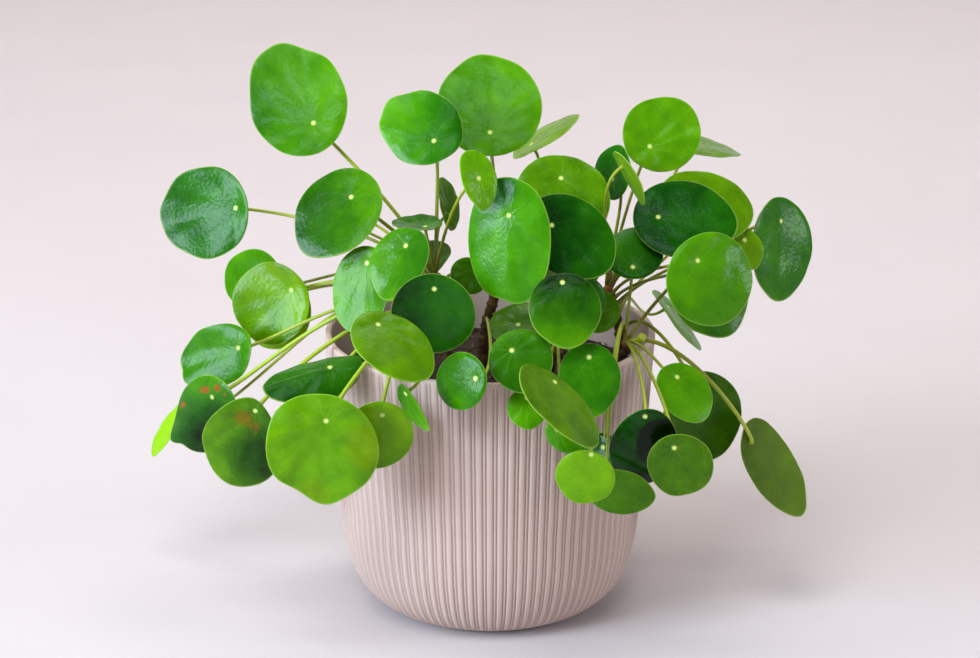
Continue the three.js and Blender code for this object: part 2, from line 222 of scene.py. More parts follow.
@dataclass(frozen=True)
class PottingSoil(Finish):
    """Moist peat-based potting soil, poured and lightly firmed.

    To the eye it is a near-black brown crumb with paler woody bits, without any shine but a faint damp one.
    """

    name: str = "potting_soil_moist"
    dark: str = "#17100b"
    mid: str = "#2e2017"
    pale: str = "#5c4532"

    def dress(self, tree: bpy.types.NodeTree, shader: bpy.types.Node) -> None:
        """Adds the colour of the crumbs and their rough surface."""
        place = add_node(tree, "TexCoord").outputs["Object"]
        crumb = add_node(tree, "Attribute", {"attribute_name": "crumb"}).outputs["Fac"]
        coarse = {"Scale": 420.0, "Detail": 5.0, "Roughness": 0.7}
        grain = add_node(tree, "TexNoise", coarse, {"Vector": place})
        mixed = add_node(tree, "Math", {"operation": "MULTIPLY_ADD", 1: 0.6}, {0: crumb, 2: grain})
        ramp = add_node(tree, "ValToRGB", {}, {"Fac": mixed})
        colour_stops(ramp, [(0.3, self.dark), (0.62, self.mid), (1.0, self.pale)])
        bump = add_node(tree, "Bump", {"Strength": 0.8, "Distance": 0.0008}, {"Height": grain})
        feed(shader, {"Base Color": ramp, "Normal": bump})
        shader.inputs["Roughness"].default_value = 0.9


@dataclass(frozen=True)
class CorkyBark(Finish):
    """The corky bark of an old leafless stem, grown with a ring of scars where leaves have dropped.

    To the eye it is dark brown with lighter tan scars, turns orange-brown at the crown and is rough all
    over.
    """

    name: str = "bark_corky_grown"
    dark: str = "#33220f"
    mid: str = "#5e4220"
    scar: str = "#86683c"
    crown: str = "#a8682a"

    def dress(self, tree: bpy.types.NodeTree, shader: bpy.types.Node) -> None:
        """Adds the bark's colour along the stem and its rings of scars."""
        place = add_node(tree, "TexCoord").outputs["Object"]
        along = add_node(tree, "Attribute", {"attribute_name": "along"}).outputs["Fac"]
        fine = {"Scale": 520.0, "Detail": 5.0, "Roughness": 0.65}
        grain = add_node(tree, "TexNoise", fine, {"Vector": place})
        stretched = add_node(tree, "Mapping", {"Scale": (1.0, 1.0, 3.5)}, {"Vector": place})
        ring = add_node(tree, "TexNoise", {"Scale": 130.0, "Detail": 3.0}, {"Vector": stretched})
        bark = add_node(tree, "ValToRGB", {}, {"Fac": ring})
        colour_stops(bark, [(0.35, self.dark), (0.6, self.mid), (0.8, self.scar)])
        top = {"From Min": 0.82, "From Max": 1.0, "To Max": 0.8}
        ripe = add_node(tree, "MapRange", top, {"Value": along})
        crown = {"data_type": "RGBA", 7: linear(self.crown)}
        colour = add_node(tree, "Mix", crown, {0: ripe, 6: bark})
        rough = add_node(tree, "Math", {"operation": "ADD"}, {0: grain, 1: ring})
        bump = add_node(tree, "Bump", {"Strength": 0.7, "Distance": 0.0004}, {"Height": rough})
        feed(shader, {"Base Color": colour, "Normal": bump})
        shader.inputs["Roughness"].default_value = 0.7


@dataclass(frozen=True)
class StalkSkin(Finish):
    """The smooth skin of a live leaf stalk, grown round and a little waxy.

    To the eye it runs from red-brown at the stem through olive to yellow-green at the leaf, with fine
    flecks, a soft gloss and a little light coming through.
    """

    name: str = "stalk_skin_live"
    foot: str = "#64360a"
    middle: str = "#76780c"
    top: str = "#9aa424"
    fresh: str = "#9fbc26"

    def dress(self, tree: bpy.types.NodeTree, shader: bpy.types.Node) -> None:
        """Adds the colour along the stalk and its flecks."""
        place = add_node(tree, "TexCoord").outputs["Object"]
        along = add_node(tree, "Attribute", {"attribute_name": "along"}).outputs["Fac"]
        tone = add_node(tree, "Attribute", {"attribute_name": "tone"}).outputs["Fac"]
        fleck = add_node(tree, "TexNoise", {"Scale": 700.0, "Detail": 3.0}, {"Vector": place})
        shifted = add_node(tree, "Math", {"operation": "MULTIPLY_ADD", 1: 0.25}, {0: fleck, 2: along})
        skin = add_node(tree, "ValToRGB", {}, {"Fac": shifted})
        colour_stops(skin, [(0.12, self.foot), (0.42, self.middle), (1.0, self.top)])
        fresh = {"data_type": "RGBA", 7: linear(self.fresh)}
        colour = add_node(tree, "Mix", fresh, {0: tone, 6: skin})
        bump = add_node(tree, "Bump", {"Strength": 0.2, "Distance": 0.0002}, {"Height": fleck})
        feed(shader, {"Base Color": colour, "Normal": bump})
        shader.inputs["Roughness"].default_value = 0.38
        shader.inputs["Subsurface Weight"].default_value = 0.15
        shader.inputs["Subsurface Radius"].default_value = (1.0, 1.2, 0.3)
        shader.inputs["Subsurface Scale"].default_value = 0.0008


@dataclass(frozen=True)
class LeafSkin(Finish):
    """The waxy skin of a live money plant leaf, grown thick and quilted between its veins.

    To the eye it is a glossy saturated green that breaks reflections into mottled patches, with a pale lime
    spot over the stalk, faint pale veins that spread from it, a thin yellow-green margin, and a duller,
    lighter underside. Old leaves turn olive, and some have rust-brown patches. Each leaf's green is also
    painted darker where it lies in shadow and lighter on one side: painted shade and painted light.
    """

    name: str = "leaf_waxy_live"
    # The near-black lowest stops are reached only by leaves and patches painted in shade
    stops: tuple[float, ...] = (0.0, 0.2, 0.44, 0.7, 1.0)
    greens: tuple[str, ...] = ("#031402", "#0c4a03", "#246c02", "#499402", "#78b804")
    olives: tuple[str, ...] = ("#0c0d02", "#2c3c02", "#516202", "#7c9002", "#a8b806")
    vein: str = "#86c23c"
    margin: str = "#bcdc5c"
    spot: str = "#dcea84"
    rust: str = "#8a5210"
    under: str = "#7f9c2c"
    gloss: float = 0.17
    vein_turns: float = 4.5

    def dress(self, tree: bpy.types.NodeTree, shader: bpy.types.Node) -> None:
        """Adds the leaf's greens, veins, spot, margin, blemishes, underside and quilting."""
        place = add_node(tree, "Attribute", {"attribute_name": "blade"}).outputs["Vector"]
        look = add_node(tree, "Attribute", {"attribute_name": "look"}).outputs["Vector"]
        side = add_node(tree, "Attribute", {"attribute_name": "side"}).outputs["Fac"]
        own = add_node(tree, "Attribute", {"attribute_name": "seed"}).outputs["Fac"]
        along, across, reach = add_node(tree, "SeparateXYZ", {}, {"Vector": place}).outputs
        bright, yellow, rust = add_node(tree, "SeparateXYZ", {}, {"Vector": look}).outputs
        flat = add_node(tree, "CombineXYZ", {}, {"X": along, "Y": across, "Z": own})
        level = add_node(tree, "VectorMath", {"operation": "MULTIPLY", 1: (1, 1, 0)}, {0: place})
        away = add_node(tree, "VectorMath", {"operation": "LENGTH"}, {0: level})

        # The greens: a slow clouding across the blade, a mottling of 1 to 2 mm, and each leaf's painted
        # light and shade
        cloud = add_node(tree, "TexNoise", {"Scale": 0.07, "Detail": 2.0}, {"Vector": flat})
        fine = {"Scale": 0.55, "Detail": 4.0, "Roughness": 0.6}
        mottle = add_node(tree, "TexNoise", fine, {"Vector": flat})
        clouded = add_node(tree, "Math", {"operation": "MULTIPLY_ADD", 1: 0.5}, {0: cloud, 2: bright})
        mottled = add_node(tree, "Math", {"operation": "MULTIPLY_ADD", 1: 0.2}, {0: mottle, 2: clouded})
        centred = add_node(tree, "Math", {"operation": "MULTIPLY_ADD", 1: 0.8, 2: -0.08}, {0: mottled})
        greens = add_node(tree, "ValToRGB", {}, {"Fac": centred})
        colour_stops(greens, list(zip(self.stops, self.greens)))
        olives = add_node(tree, "ValToRGB", {}, {"Fac": centred})
        colour_stops(olives, list(zip(self.stops, self.olives)))
        aged = add_node(tree, "Mix", {"data_type": "RGBA"}, {0: yellow, 6: greens, 7: olives})

        # Nine main veins that leave the spot, wander a little and fade towards the margin
        bearing = add_node(tree, "Math", {"operation": "ARCTAN2"}, {0: across, 1: along})
        wander = add_node(tree, "Math", {"operation": "ADD"}, {0: cloud, 1: bearing})
        turns = add_node(tree, "Math", {"operation": "MULTIPLY", 1: self.vein_turns}, {0: wander})
        swing = add_node(tree, "Math", {"operation": "SINE"}, {0: turns})
        offset = add_node(tree, "Math", {"operation": "ABSOLUTE"}, {0: swing})
        beside = add_node(tree, "Math", {"operation": "MULTIPLY"}, {0: offset, 1: away})
        thin = {"From Min": 0.5, "From Max": 2.2, "To Min": 1.0, "To Max": 0.0}
        line = add_node(tree, "MapRange", thin, {"Value": beside})
        faded = {"From Min": 2.0, "From Max": 15.0, "To Min": 0.7, "To Max": 0.06}
        fade = add_node(tree, "MapRange", faded, {"Value": away})
        veins = add_node(tree, "Math", {"operation": "MULTIPLY"}, {0: line, 1: fade})
        bold = add_node(tree, "Math", {"operation": "MULTIPLY", 1: 0.22}, {0: clouded})
        pale = add_node(tree, "Math", {"operation": "MULTIPLY"}, {0: veins, 1: bold})

        # Rust: the painted patch is broken up by the mottling
        patchy = add_node(tree, "Math", {"operation": "ADD"}, {0: rust, 1: mottle})
        broken = {"From Min": 0.8, "From Max": 1.4, "To Max": 0.95}
        rusty = add_node(tree, "MapRange", broken, {"Value": patchy})

        # The margin line is half a millimetre wide and the spot is two to three millimetres across
        outermost = {"From Min": 0.974, "From Max": 0.992, "To Max": 0.3}
        edge = add_node(tree, "MapRange", outermost, {"Value": reach})
        small = {"From Min": 0.7, "From Max": 1.7, "To Min": 0.9, "To Max": 0.0}
        centre = add_node(tree, "MapRange", small, {"Value": away})
        upper = aged
        layers = ((pale, self.vein), (rusty, self.rust), (edge, self.margin), (centre, self.spot))
        for share, tint in layers:
            upper = add_node(tree, "Mix", {"data_type": "RGBA", 7: linear(tint)}, {0: share, 6: upper})
        below = add_node(tree, "Mix", {"data_type": "RGBA", 0: 0.22, 7: linear(self.under)}, {6: upper})
        colour = add_node(tree, "Mix", {"data_type": "RGBA"}, {0: side, 6: below, 7: upper})

        # Gloss on the upper face, dull below, and a quilting of cells 3 mm wide between sunken veins
        shine = add_node(tree, "MapRange", {"To Min": 0.55, "To Max": self.gloss}, {"Value": side})
        gloss = add_node(tree, "Math", {"operation": "MULTIPLY_ADD", 1: 0.12}, {0: mottle, 2: shine})
        quilt = {"feature": "SMOOTH_F1", "Scale": 0.5, "Smoothness": 0.8}
        cells = add_node(tree, "TexVoronoi", quilt, {"Vector": flat})
        sunken = add_node(tree, "Math", {"operation": "MULTIPLY_ADD", 1: 0.7}, {0: veins, 2: cells})
        puckered = add_node(tree, "Math", {"operation": "MULTIPLY_ADD", 1: -0.5}, {0: mottle, 2: sunken})
        raised = {"invert": True, "Strength": 0.45, "Distance": 0.00025}
        bump = add_node(tree, "Bump", raised, {"Height": puckered})
        feed(shader, {"Base Color": colour, "Roughness": gloss, "Normal": bump})
        shader.inputs["IOR"].default_value = 1.42
        shader.inputs["Specular IOR Level"].default_value = 0.21
        shader.inputs["Subsurface Weight"].default_value = 0.2
        shader.inputs["Subsurface Radius"].default_value = (0.9, 1.3, 0.2)
        shader.inputs["Subsurface Scale"].default_value = 0.001


@dataclass(frozen=True)
class PaintedBoard(Finish):
    """A smooth board with pale matte wall paint, rolled on, which stands for the floor and the backdrop.

    To the eye it is an even off-white with a barely visible roller texture.
    """

    name: str = "board_painted_matte"
    tint: str = "#d0c9c9"
    shade: str = "#c9c2c3"

    def dress(self, tree: bpy.types.NodeTree, shader: bpy.types.Node) -> None:
        """Adds the faint clouding of rolled paint."""
        place = add_node(tree, "TexCoord").outputs["Object"]
        cloud = add_node(tree, "TexNoise", {"Scale": 6.0, "Detail": 3.0}, {"Vector": place})
        paint = {"data_type": "RGBA", 6: linear(self.tint), 7: linear(self.shade)}
        feed(shader, {"Base Color": add_node(tree, "Mix", paint, {0: cloud})})
        shader.inputs["Roughness"].default_value = 0.8


def new_object(name: str, bm: bmesh.types.BMesh, finish: Finish) -> bpy.types.Object:
    """Turns a bmesh in millimetres into a smooth object in metres, at the origin.

    Args:
        name: the object's name.
        bm: the mesh, which is freed.
        finish: what it wears.

    Returns:
        The new object.
    """
    bmesh.ops.scale(bm, vec=(METRES, METRES, METRES), verts=bm.verts)
    bmesh.ops.recalc_face_normals(bm, faces=bm.faces)
    for face in bm.faces:
        face.smooth = True
    mesh = bpy.data.meshes.new(name)
    bm.to_mesh(mesh)
    bm.free()
    mesh.materials.append(finish.material())
    made = bpy.data.objects.new(name, mesh)
    bpy.context.scene.collection.objects.link(made)
    return made


def settle(piece: bpy.types.Object, node: str) -> None:
    """Lets a piece ride on the plant and stand for a CAD node.

    Args:
        piece: the finished piece.
        node: the CAD node that it replaces.
    """
    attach(piece, "root")
    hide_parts(node)
    LOG.info("%s: %d faces, stands for %s", piece.name, len(piece.data.polygons), node)


def turned(bm: bmesh.types.BMesh, section: list[tuple[float, float]], columns: int) -> None:
    """Turns a line of points round the Z axis, an eighth turn first and then its seven copies, and closes
    its seams and poles.

    Args:
        bm: the mesh that gets the turned surface.
        section: the points as radius and height, in order.
        columns: the number of columns round the turn, a multiple of eight.
    """
    chain = [bm.verts.new((radius, 0, height)) for radius, height in section]
    edges = [bm.edges.new(pair) for pair in zip(chain, chain[1:])]
    eighth = math.pi / 4
    bmesh.ops.spin(bm, geom=chain + edges, axis=(0, 0, 1), angle=eighth, steps=columns // 8)
    whole = [*bm.verts, *bm.edges, *bm.faces]
    bmesh.ops.spin(bm, geom=whole, axis=(0, 0, 1), angle=eighth * 7, steps=7, use_duplicate=True)
    bmesh.ops.remove_doubles(bm, verts=bm.verts, dist=1e-4)


@dataclass(frozen=True)
class Tube:
    """A round tube drawn along a line, ring by ring, with its ends closed."""

    points: list[Vector]
    radii: list[float]
    sides: int

    def draw(self, bm: bmesh.types.BMesh, tags: dict[str, float]) -> list[list[bmesh.types.BMVert]]:
        """Draws the tube and marks how far along it each ring is.

        Args:
            bm: the mesh that gets the tube; it has a float layer "along" and one for each tag.
            tags: the value that each further float layer takes all over the tube.

        Returns:
            The points of each ring, in order.
        """
        tangents = [(b - a).normalized() for a, b in zip(self.points, self.points[1:])]
        between = [(a + b).normalized() for a, b in zip(tangents, tangents[1:])]
        tangents = [tangents[0], *between, tangents[-1]]
        turn = UP.rotation_difference(tangents[0])
        frames = []
        for index, tangent in enumerate(tangents):
            if index:
                turn = tangents[index - 1].rotation_difference(tangent) @ turn
            frames.append(Matrix.LocRotScale(self.points[index], turn, Vector.Fill(3, self.radii[index])))
        made = bmesh.ops.create_circle(bm, cap_ends=True, segments=self.sides, radius=1, matrix=frames[0])
        rings = [made["verts"]]
        edges = [edge for edge in bm.edges if edge.verts[0] in rings[0] and edge.verts[1] in rings[0]]
        for before, after in zip(frames, frames[1:]):
            grown = bmesh.ops.extrude_edge_only(bm, edges=edges)["geom"]
            fresh = {item for item in grown if isinstance(item, bmesh.types.BMVert)}
            edges = [e for e in grown if isinstance(e, bmesh.types.BMEdge) and fresh.issuperset(e.verts)]
            bmesh.ops.transform(bm, matrix=after @ before.inverted(), verts=list(fresh))
            rings.append(list(fresh))
        bmesh.ops.edgeloop_fill(bm, edges=edges)
        along = bm.verts.layers.float["along"]
        for index, ring in enumerate(rings):
            for vert in ring:
                vert[along] = index / (len(rings) - 1)
                for name, value in tags.items():
                    vert[bm.verts.layers.float[name]] = value
        return rings


@dataclass
class RibbedPot:
    """The pot: a bowl that flares to a plain rim, with upright ribs and a narrow bead between each two."""

    belt_radius: float = 88.0
    belt_height: float = 65.0
    base_radius: float = 55.0
    rib_count: int = 96
    rib_depth: float = 1.0
    foot_fade: float = 7.0
    rim_fade: float = 4.0
    lip: float = 1.3
    columns_per_rib: int = 12
    rib_half: float = 0.28
    bead_half: float = 0.14
    bead_height: float = 0.7

    def side(
        self, inset: float, lift: float, bowl_steps: int, flare_steps: int
    ) -> list[tuple[float, float]]:
        """The pot's outer side, or the same side drawn in and raised.

        Args:
            inset: how far the side is drawn in.
            lift: how far its foot is raised, while its rim stays.
            bowl_steps: the number of steps from the foot to the belt.
            flare_steps: the number of steps from the belt to the rim.

        Returns:
            Points as radius and height, from the foot to the rim.
        """
        foot = Vector((self.base_radius, 0))
        belt = Vector((self.belt_radius, self.belt_height))
        rim = Vector((RIM_RADIUS, POT_HEIGHT))
        foot_turn = Vector((self.belt_radius * 0.91, self.belt_height * 0.03))
        belly_turn = Vector((self.belt_radius * 0.99, self.belt_height * 0.46))
        flare_height = self.belt_height + (POT_HEIGHT - self.belt_height) * 0.41
        flare_turn = Vector((self.belt_radius * 1.045, flare_height))
        bowl = geometry.interpolate_bezier(foot, foot_turn, belly_turn, belt, bowl_steps + 1)
        flare = geometry.interpolate_bezier(
            belt, belt.lerp(flare_turn, 2 / 3), rim.lerp(flare_turn, 2 / 3), rim, flare_steps + 1
        )
        squeeze = (POT_HEIGHT - lift) / POT_HEIGHT
        return [(point.x - inset, lift + point.y * squeeze) for point in [*bowl, *flare[1:]]]

    def relief(self, angle: float) -> float:
        """How high the ribbed surface stands at an angle round the pot.

        Args:
            angle: the angle in radians; a rib faces straight to the front.

        Returns:
            0 at the bottom of a groove and 1 on the top of a rib.
        """
        turn = (angle + math.pi / 2) * self.rib_count / (2 * math.pi)
        off_rib = abs(turn - round(turn))
        off_bead = 0.5 - off_rib
        if off_rib < self.rib_half:
            return 1 - 0.55 * (off_rib / self.rib_half) ** 4
        if off_bead < self.bead_half:
            return self.bead_height * (1 - 0.8 * (off_bead / self.bead_half) ** 2)
        return 0.0

    def build(self) -> bpy.types.Object:
        """Turns the pot, presses its ribs and settles it.

        Returns:
            The pot's piece.
        """
        outer = self.side(0, 0, 16, 10)
        inner = self.side(WALL, FLOOR, 8, 6)
        lip = self.lip
        section = [(0, 0), (self.base_radius * 0.55, 0), *outer[:-1]]
        section += [(RIM_RADIUS - 0.05, POT_HEIGHT - 3.5), (RIM_RADIUS - 0.02, POT_HEIGHT - lip)]
        for step in range(1, 6):
            bend = step / 5 * math.pi / 2
            reach = RIM_RADIUS - lip
            section.append((reach + lip * math.cos(bend), POT_HEIGHT - lip + lip * math.sin(bend)))
        for step in range(5):
            bend = step / 5 * math.pi / 2
            reach = RIM_RADIUS - WALL + lip
            section.append((reach - lip * math.sin(bend), POT_HEIGHT - lip + lip * math.cos(bend)))
        section += [(RIM_RADIUS - WALL, POT_HEIGHT - lip), *reversed(inner[:-1]), (0, FLOOR)]
        bm = bmesh.new()
        height = bm.verts.layers.float.new("rib")
        turned(bm, section, self.rib_count * self.columns_per_rib)
        for vert in bm.verts:
            radius = math.hypot(vert.co.x, vert.co.y)
            vert[height] = 1.0
            below_lip = vert.co.z < POT_HEIGHT - lip - 0.1
            if not below_lip or radius <= self.outer_radius(outer, vert.co.z) - 0.5:
                continue
            fade = eased(vert.co.z, 0, self.foot_fade)
            fade *= 1 - eased(vert.co.z, POT_HEIGHT - self.rim_fade, POT_HEIGHT - lip)
            relief = 1 - fade * (1 - self.relief(math.atan2(vert.co.y, vert.co.x)))
            scale = 1 - self.rib_depth * (1 - relief) / radius
            vert[height] = relief
            vert.co.x *= scale
            vert.co.y *= scale
        piece = new_object("pot_ribbed", bm, Stoneware())
        settle(piece, "pot")
        return piece

    def outer_radius(self, outer: list[tuple[float, float]], height: float) -> float:
        """The outer side's radius at a height.

        Args:
            outer: the side's points as radius and height.
            height: the height.

        Returns:
            The radius there.
        """
        for (low_radius, low), (high_radius, high) in zip(outer, outer[1:]):
            if low <= height <= high:
                share = (height - low) / (high - low) if high > low else 0
                return low_radius + (high_radius - low_radius) * share
        return outer[-1][0]


@dataclass
class SoilFill:
    """The potting soil: a body that fills the pot, and loose crumbs and bark bits on its top."""

    pot: RibbedPot
    top: float = 134.0
    dome: float = 3.0
    rings: int = 44
    columns: int = 144
    clearance: float = 0.3
    crumbs: int = 620
    seed: int = 11

    def surface(self, x: float, y: float, reach: float) -> float:
        """The height of the soil's lumpy top.

        Args:
            x: the place to the right.
            y: the place towards the back.
            reach: the top's outer radius.

        Returns:
            The height there.
        """
        share = min(math.hypot(x, y) / reach, 1.0)
        mound = self.dome * (1 - share**2)
        lump = noise.fractal(Vector((x / 14, y / 14, 1.7)), 0.8, 2.1, 4)
        return self.top + mound + lump * 1.6 * (1 - 0.6 * eased(share, 0.9, 1.0))

    def build(self) -> bpy.types.Object:
        """Turns the soil's body, roughens its top, strews the crumbs and settles the piece.

        Returns:
            The soil's piece.
        """
        side = self.pot.side(WALL + self.clearance, FLOOR + self.clearance, 6, 8)
        below = [point for point in side if point[1] < self.top - 2]
        next_up = side[len(below)]
        share = (self.top - below[-1][1]) / (next_up[1] - below[-1][1])
        reach = below[-1][0] + (next_up[0] - below[-1][0]) * share
        ring_radii = [reach * (1 - step / self.rings) for step in range(self.rings)]
        section = [(0, FLOOR + self.clearance), *below, *((radius, self.top) for radius in ring_radii)]
        section.append((0, self.top))
        bm = bmesh.new()
        crumb = bm.verts.layers.float.new("crumb")
        turned(bm, section, self.columns)
        for vert in bm.verts:
            if vert.co.z > self.top - 0.5:
                vert.co.z = self.surface(vert.co.x, vert.co.y, reach)
                vert[crumb] = 0.25 + 0.3 * noise.noise(vert.co / 5)
        dice = random.Random(self.seed)
        for _ in range(self.crumbs):
            angle = dice.uniform(0, 2 * math.pi)
            radius = (reach - 4) * math.sqrt(dice.random())
            x = radius * math.cos(angle)
            y = radius * math.sin(angle)
            size = dice.uniform(0.8, 2.4)
            turn = Euler((dice.uniform(0, 6), dice.uniform(0, 6), dice.uniform(0, 6))).to_quaternion()
            stretch = Vector((size * dice.uniform(0.8, 1.7), size, size * dice.uniform(0.5, 0.9)))
            place = Vector((x, y, self.surface(x, y, reach) + size * 0.1))
            seat = Matrix.LocRotScale(place, turn, stretch)
            made = bmesh.ops.create_icosphere(bm, subdivisions=1, radius=1, matrix=seat)
            tone = dice.choice((0.1, 0.2, 0.35, 0.5, 0.9))
            for vert in made["verts"]:
                vert[crumb] = tone
        piece = new_object("soil_potting", bm, PottingSoil())
        settle(piece, "soil")
        return piece


@dataclass(frozen=True)
class Stem:
    """A woody stem, from its foot in the soil to the crown that bears the youngest leaves."""

    shoot: str
    radius: float
    path: tuple[tuple[float, float, float], ...]

    def line(self, steps: int = 14) -> list[Vector]:
        """The stem's middle line, a smooth curve through its path.

        Args:
            steps: the number of steps between two points of the path.

        Returns:
            Points along the curve, from foot to crown.
        """
        points = [Vector(point) for point in self.path]
        points = [points[0] * 2 - points[1], *points, points[-1] * 2 - points[-2]]
        line = [points[1]]
        for a, b, c, d in zip(points, points[1:], points[2:], points[3:]):
            first, middle, last = (math.sqrt((q - p).length) for p, q in ((a, b), (b, c), (c, d)))
            leave = ((b - a) / first - (c - a) / (first + middle) + (c - b) / middle) * middle
            arrive = ((c - b) / middle - (d - b) / (middle + last) + (d - c) / last) * middle
            line += geometry.interpolate_bezier(b, b + leave / 3, c - arrive / 3, c, steps + 1)[1:]
        return line

    def at(self, share: float) -> Vector:
        """The point at a share of the stem's length.

        Args:
            share: 0 at the foot and 1 at the crown.

        Returns:
            The point on the middle line.
        """
        line = self.line()
        lengths = [(b - a).length for a, b in zip(line, line[1:])]
        left = share * sum(lengths)
        for start, end, length in zip(line, line[1:], lengths):
            if left <= length:
                return start.lerp(end, left / length)
            left -= length
        return line[-1]


STEM_FOOT = 120.0
STEMS = {
    "main": Stem(
        "shoot_main", 3.3, ((-2, 8, STEM_FOOT), (-4, 3, 150), (-2, 0, 166), (3, 0, 185), (6, 0, 214))
    ),
    "left": Stem(
        "shoot_left", 3.0, ((-22, -4, STEM_FOOT), (-25, -9, 155), (-28, -15, 180), (-31, -20, 203))
    ),
    "front": Stem("shoot_front", 2.6, ((30, -30, STEM_FOOT), (34, -38, 152), (39, -46, 173))),
    "right": Stem("shoot_right", 2.8, ((70, 4, STEM_FOOT), (75, 0, 150), (73, 0, 170), (67, 0, 190))),
    "rightLow": Stem("shoot_right", 2.4, ((75, 0, 147), (78, -18, 156), (76, -36, 167))),
}


class MarkKind(Enum):
    """What a mark on a blade is."""

    RUST = "rust"
    # A yellowing mark is partly the leaf's own yellowing and partly painted light shining through the thin
    # blade
    YELLOWING_AND_GLOW = "yellowing"
    # A dark mark is painted shade, where the blade lies in shadow
    DARK = "dark"


RUST = MarkKind.RUST
YELLOWING_AND_GLOW = MarkKind.YELLOWING_AND_GLOW
DARK = MarkKind.DARK


@dataclass(frozen=True)
class Mark:
    """A soft patch on a blade, placed from the spot as seen from the front: right and up, and a radius."""

    kind: MarkKind
    right: float
    up: float
    radius: float
    strength: float = 1.0


@dataclass(frozen=True)
class Look:
    """A blade's colouring: how bright and how yellow it is, how much brighter it gets towards a bearing
    (degrees, 0 to the right, 90 up, as seen from the front), and its marks. The brightness is partly the
    leaf's own green and partly painted shade where the blade lies in shadow, and the brighter side is
    painted light.
    """

    bright: float = 0.5
    yellow: float = 0.08
    shift: float = 0.0
    bearing: float = 0.0
    marks: tuple[Mark, ...] = ()


# The leaves are placed in a frame that leans back, with its origin at the middle of the pot's rim:
# x to the right, towards the front, and up along the leaning plane.
LEAN = Matrix.Translation((0, 0, POT_HEIGHT)) @ Matrix.Rotation(math.radians(-CAMERA_PITCH), 4, "X")


@dataclass(frozen=True)
class Leaf:
    """One leaf: the stem that bears it and how far up, the place of its spot, its blade's size (length,
    width, share of the length behind the spot, share of the width to one side), its pose (degrees:
    direction of the tip, tilt away from the front, direction of that tilt), its form (dome, fold, wave), its
    colouring, the outline's departure from an ellipse (wider towards the tip, squarer, lobed), its stalk
    (thickness in stalk radii, freshness from 0 to 1), its swells (bearing as seen from the front, width in
    degrees, share of the radius by which the margin stands out there), how far its margin rolls back in
    millimetres, and how strong its puckers are.
    """

    name: str
    stem: str
    root: float
    place: tuple[float, float, float]
    size: tuple[float, ...]
    pose: tuple[float, float, float]
    form: tuple[float, float, float] = (0.05, 0.05, 0.01)
    look: Look = field(default_factory=Look)
    outline: tuple[float, float, float] = (0.0, 0.0, 0.0)
    stalk_form: tuple[float, float] = (1.0, 0.3)
    swells: tuple[tuple[float, float, float], ...] = ()
    roll: float = 0.45
    relief: float = 1.0

    @property
    def seed(self) -> float:
        """A number of the leaf's own, which sets its patterns apart."""
        return sum(ord(letter) * (place + 1) for place, letter in enumerate(self.name)) % 97

    def seat(self) -> Matrix:
        """Where the blade sits and how it is turned.

        Returns:
            The matrix from the blade's own frame to the plant's.
        """
        tip, tilt, lean = (math.radians(angle) for angle in self.pose)
        spot = Vector((self.place[0], -self.place[1], self.place[2]))
        away = math.sin(tilt)
        facing = Vector((away * math.cos(lean), -math.cos(tilt), away * math.sin(lean)))
        along = Vector((math.cos(tip), 0, math.sin(tip)))
        along.y = -along.dot(facing) / facing.y
        along.normalize()
        turn = Matrix((along, facing.cross(along), facing)).transposed().to_4x4()
        return LEAN @ Matrix.Translation(spot) @ turn

    def facing_axes(self) -> Matrix:
        """The blade's axes as seen from the front: right, away from the front, and up."""
        return (LEAN.inverted() @ self.seat()).to_3x3()

    def stalk(self, steps: int) -> list[Vector]:
        """The stalk's middle line: out of its stem, over the pot's rim and square to the blade's underside.

        Args:
            steps: the number of steps along the stalk.

        Returns:
            Points from the stem to the blade.
        """
        seat = self.seat()
        facing = seat.col[2].to_3d()
        held = seat.translation
        start = STEMS[self.stem].at(self.root)
        span = (held - start).length
        # A blade that shows its underside is met by its stalk in a short bend
        arrive_share = 0.25 if self.pose[1] < 130 else 0.08
        curve = ()
        for droop in (0, 0.3, 0.6, 0.9):
            end = held - facing * (BLADE_HOLD + droop * STALK_RADIUS)
            arrive = end - facing * span * arrive_share * (1 - droop)
            arrive.z += span * arrive_share * droop * 2
            for climb in (0.7, 1, 1.4, 2, 2.8, 3.8, 5):
                outward = ((end - start).normalized() + UP * climb).normalized()
                leave = start + outward * span * 0.3 * (1 + climb * 0.25)
                curve = (start, leave, arrive, end)
                if self.clears_rim(geometry.interpolate_bezier(*curve, 41)):
                    return geometry.interpolate_bezier(*curve, steps + 1)
        return geometry.interpolate_bezier(*curve, steps + 1)

    @staticmethod
    def clears_rim(points: list[Vector]) -> bool:
        """Whether a stalk passes over the pot's rim and not through it.

        Args:
            points: points along the stalk.

        Returns:
            True where every point is inside the pot, outside it or above its rim.
        """
        for point in points:
            radius = math.hypot(point.x, point.y)
            inside = radius < RIM_RADIUS - WALL - 2 * STALK_RADIUS
            outside = radius > RIM_RADIUS + 2 * STALK_RADIUS
            if not (inside or outside or point.z > POT_HEIGHT + 2 * STALK_RADIUS):
                return False
        return True
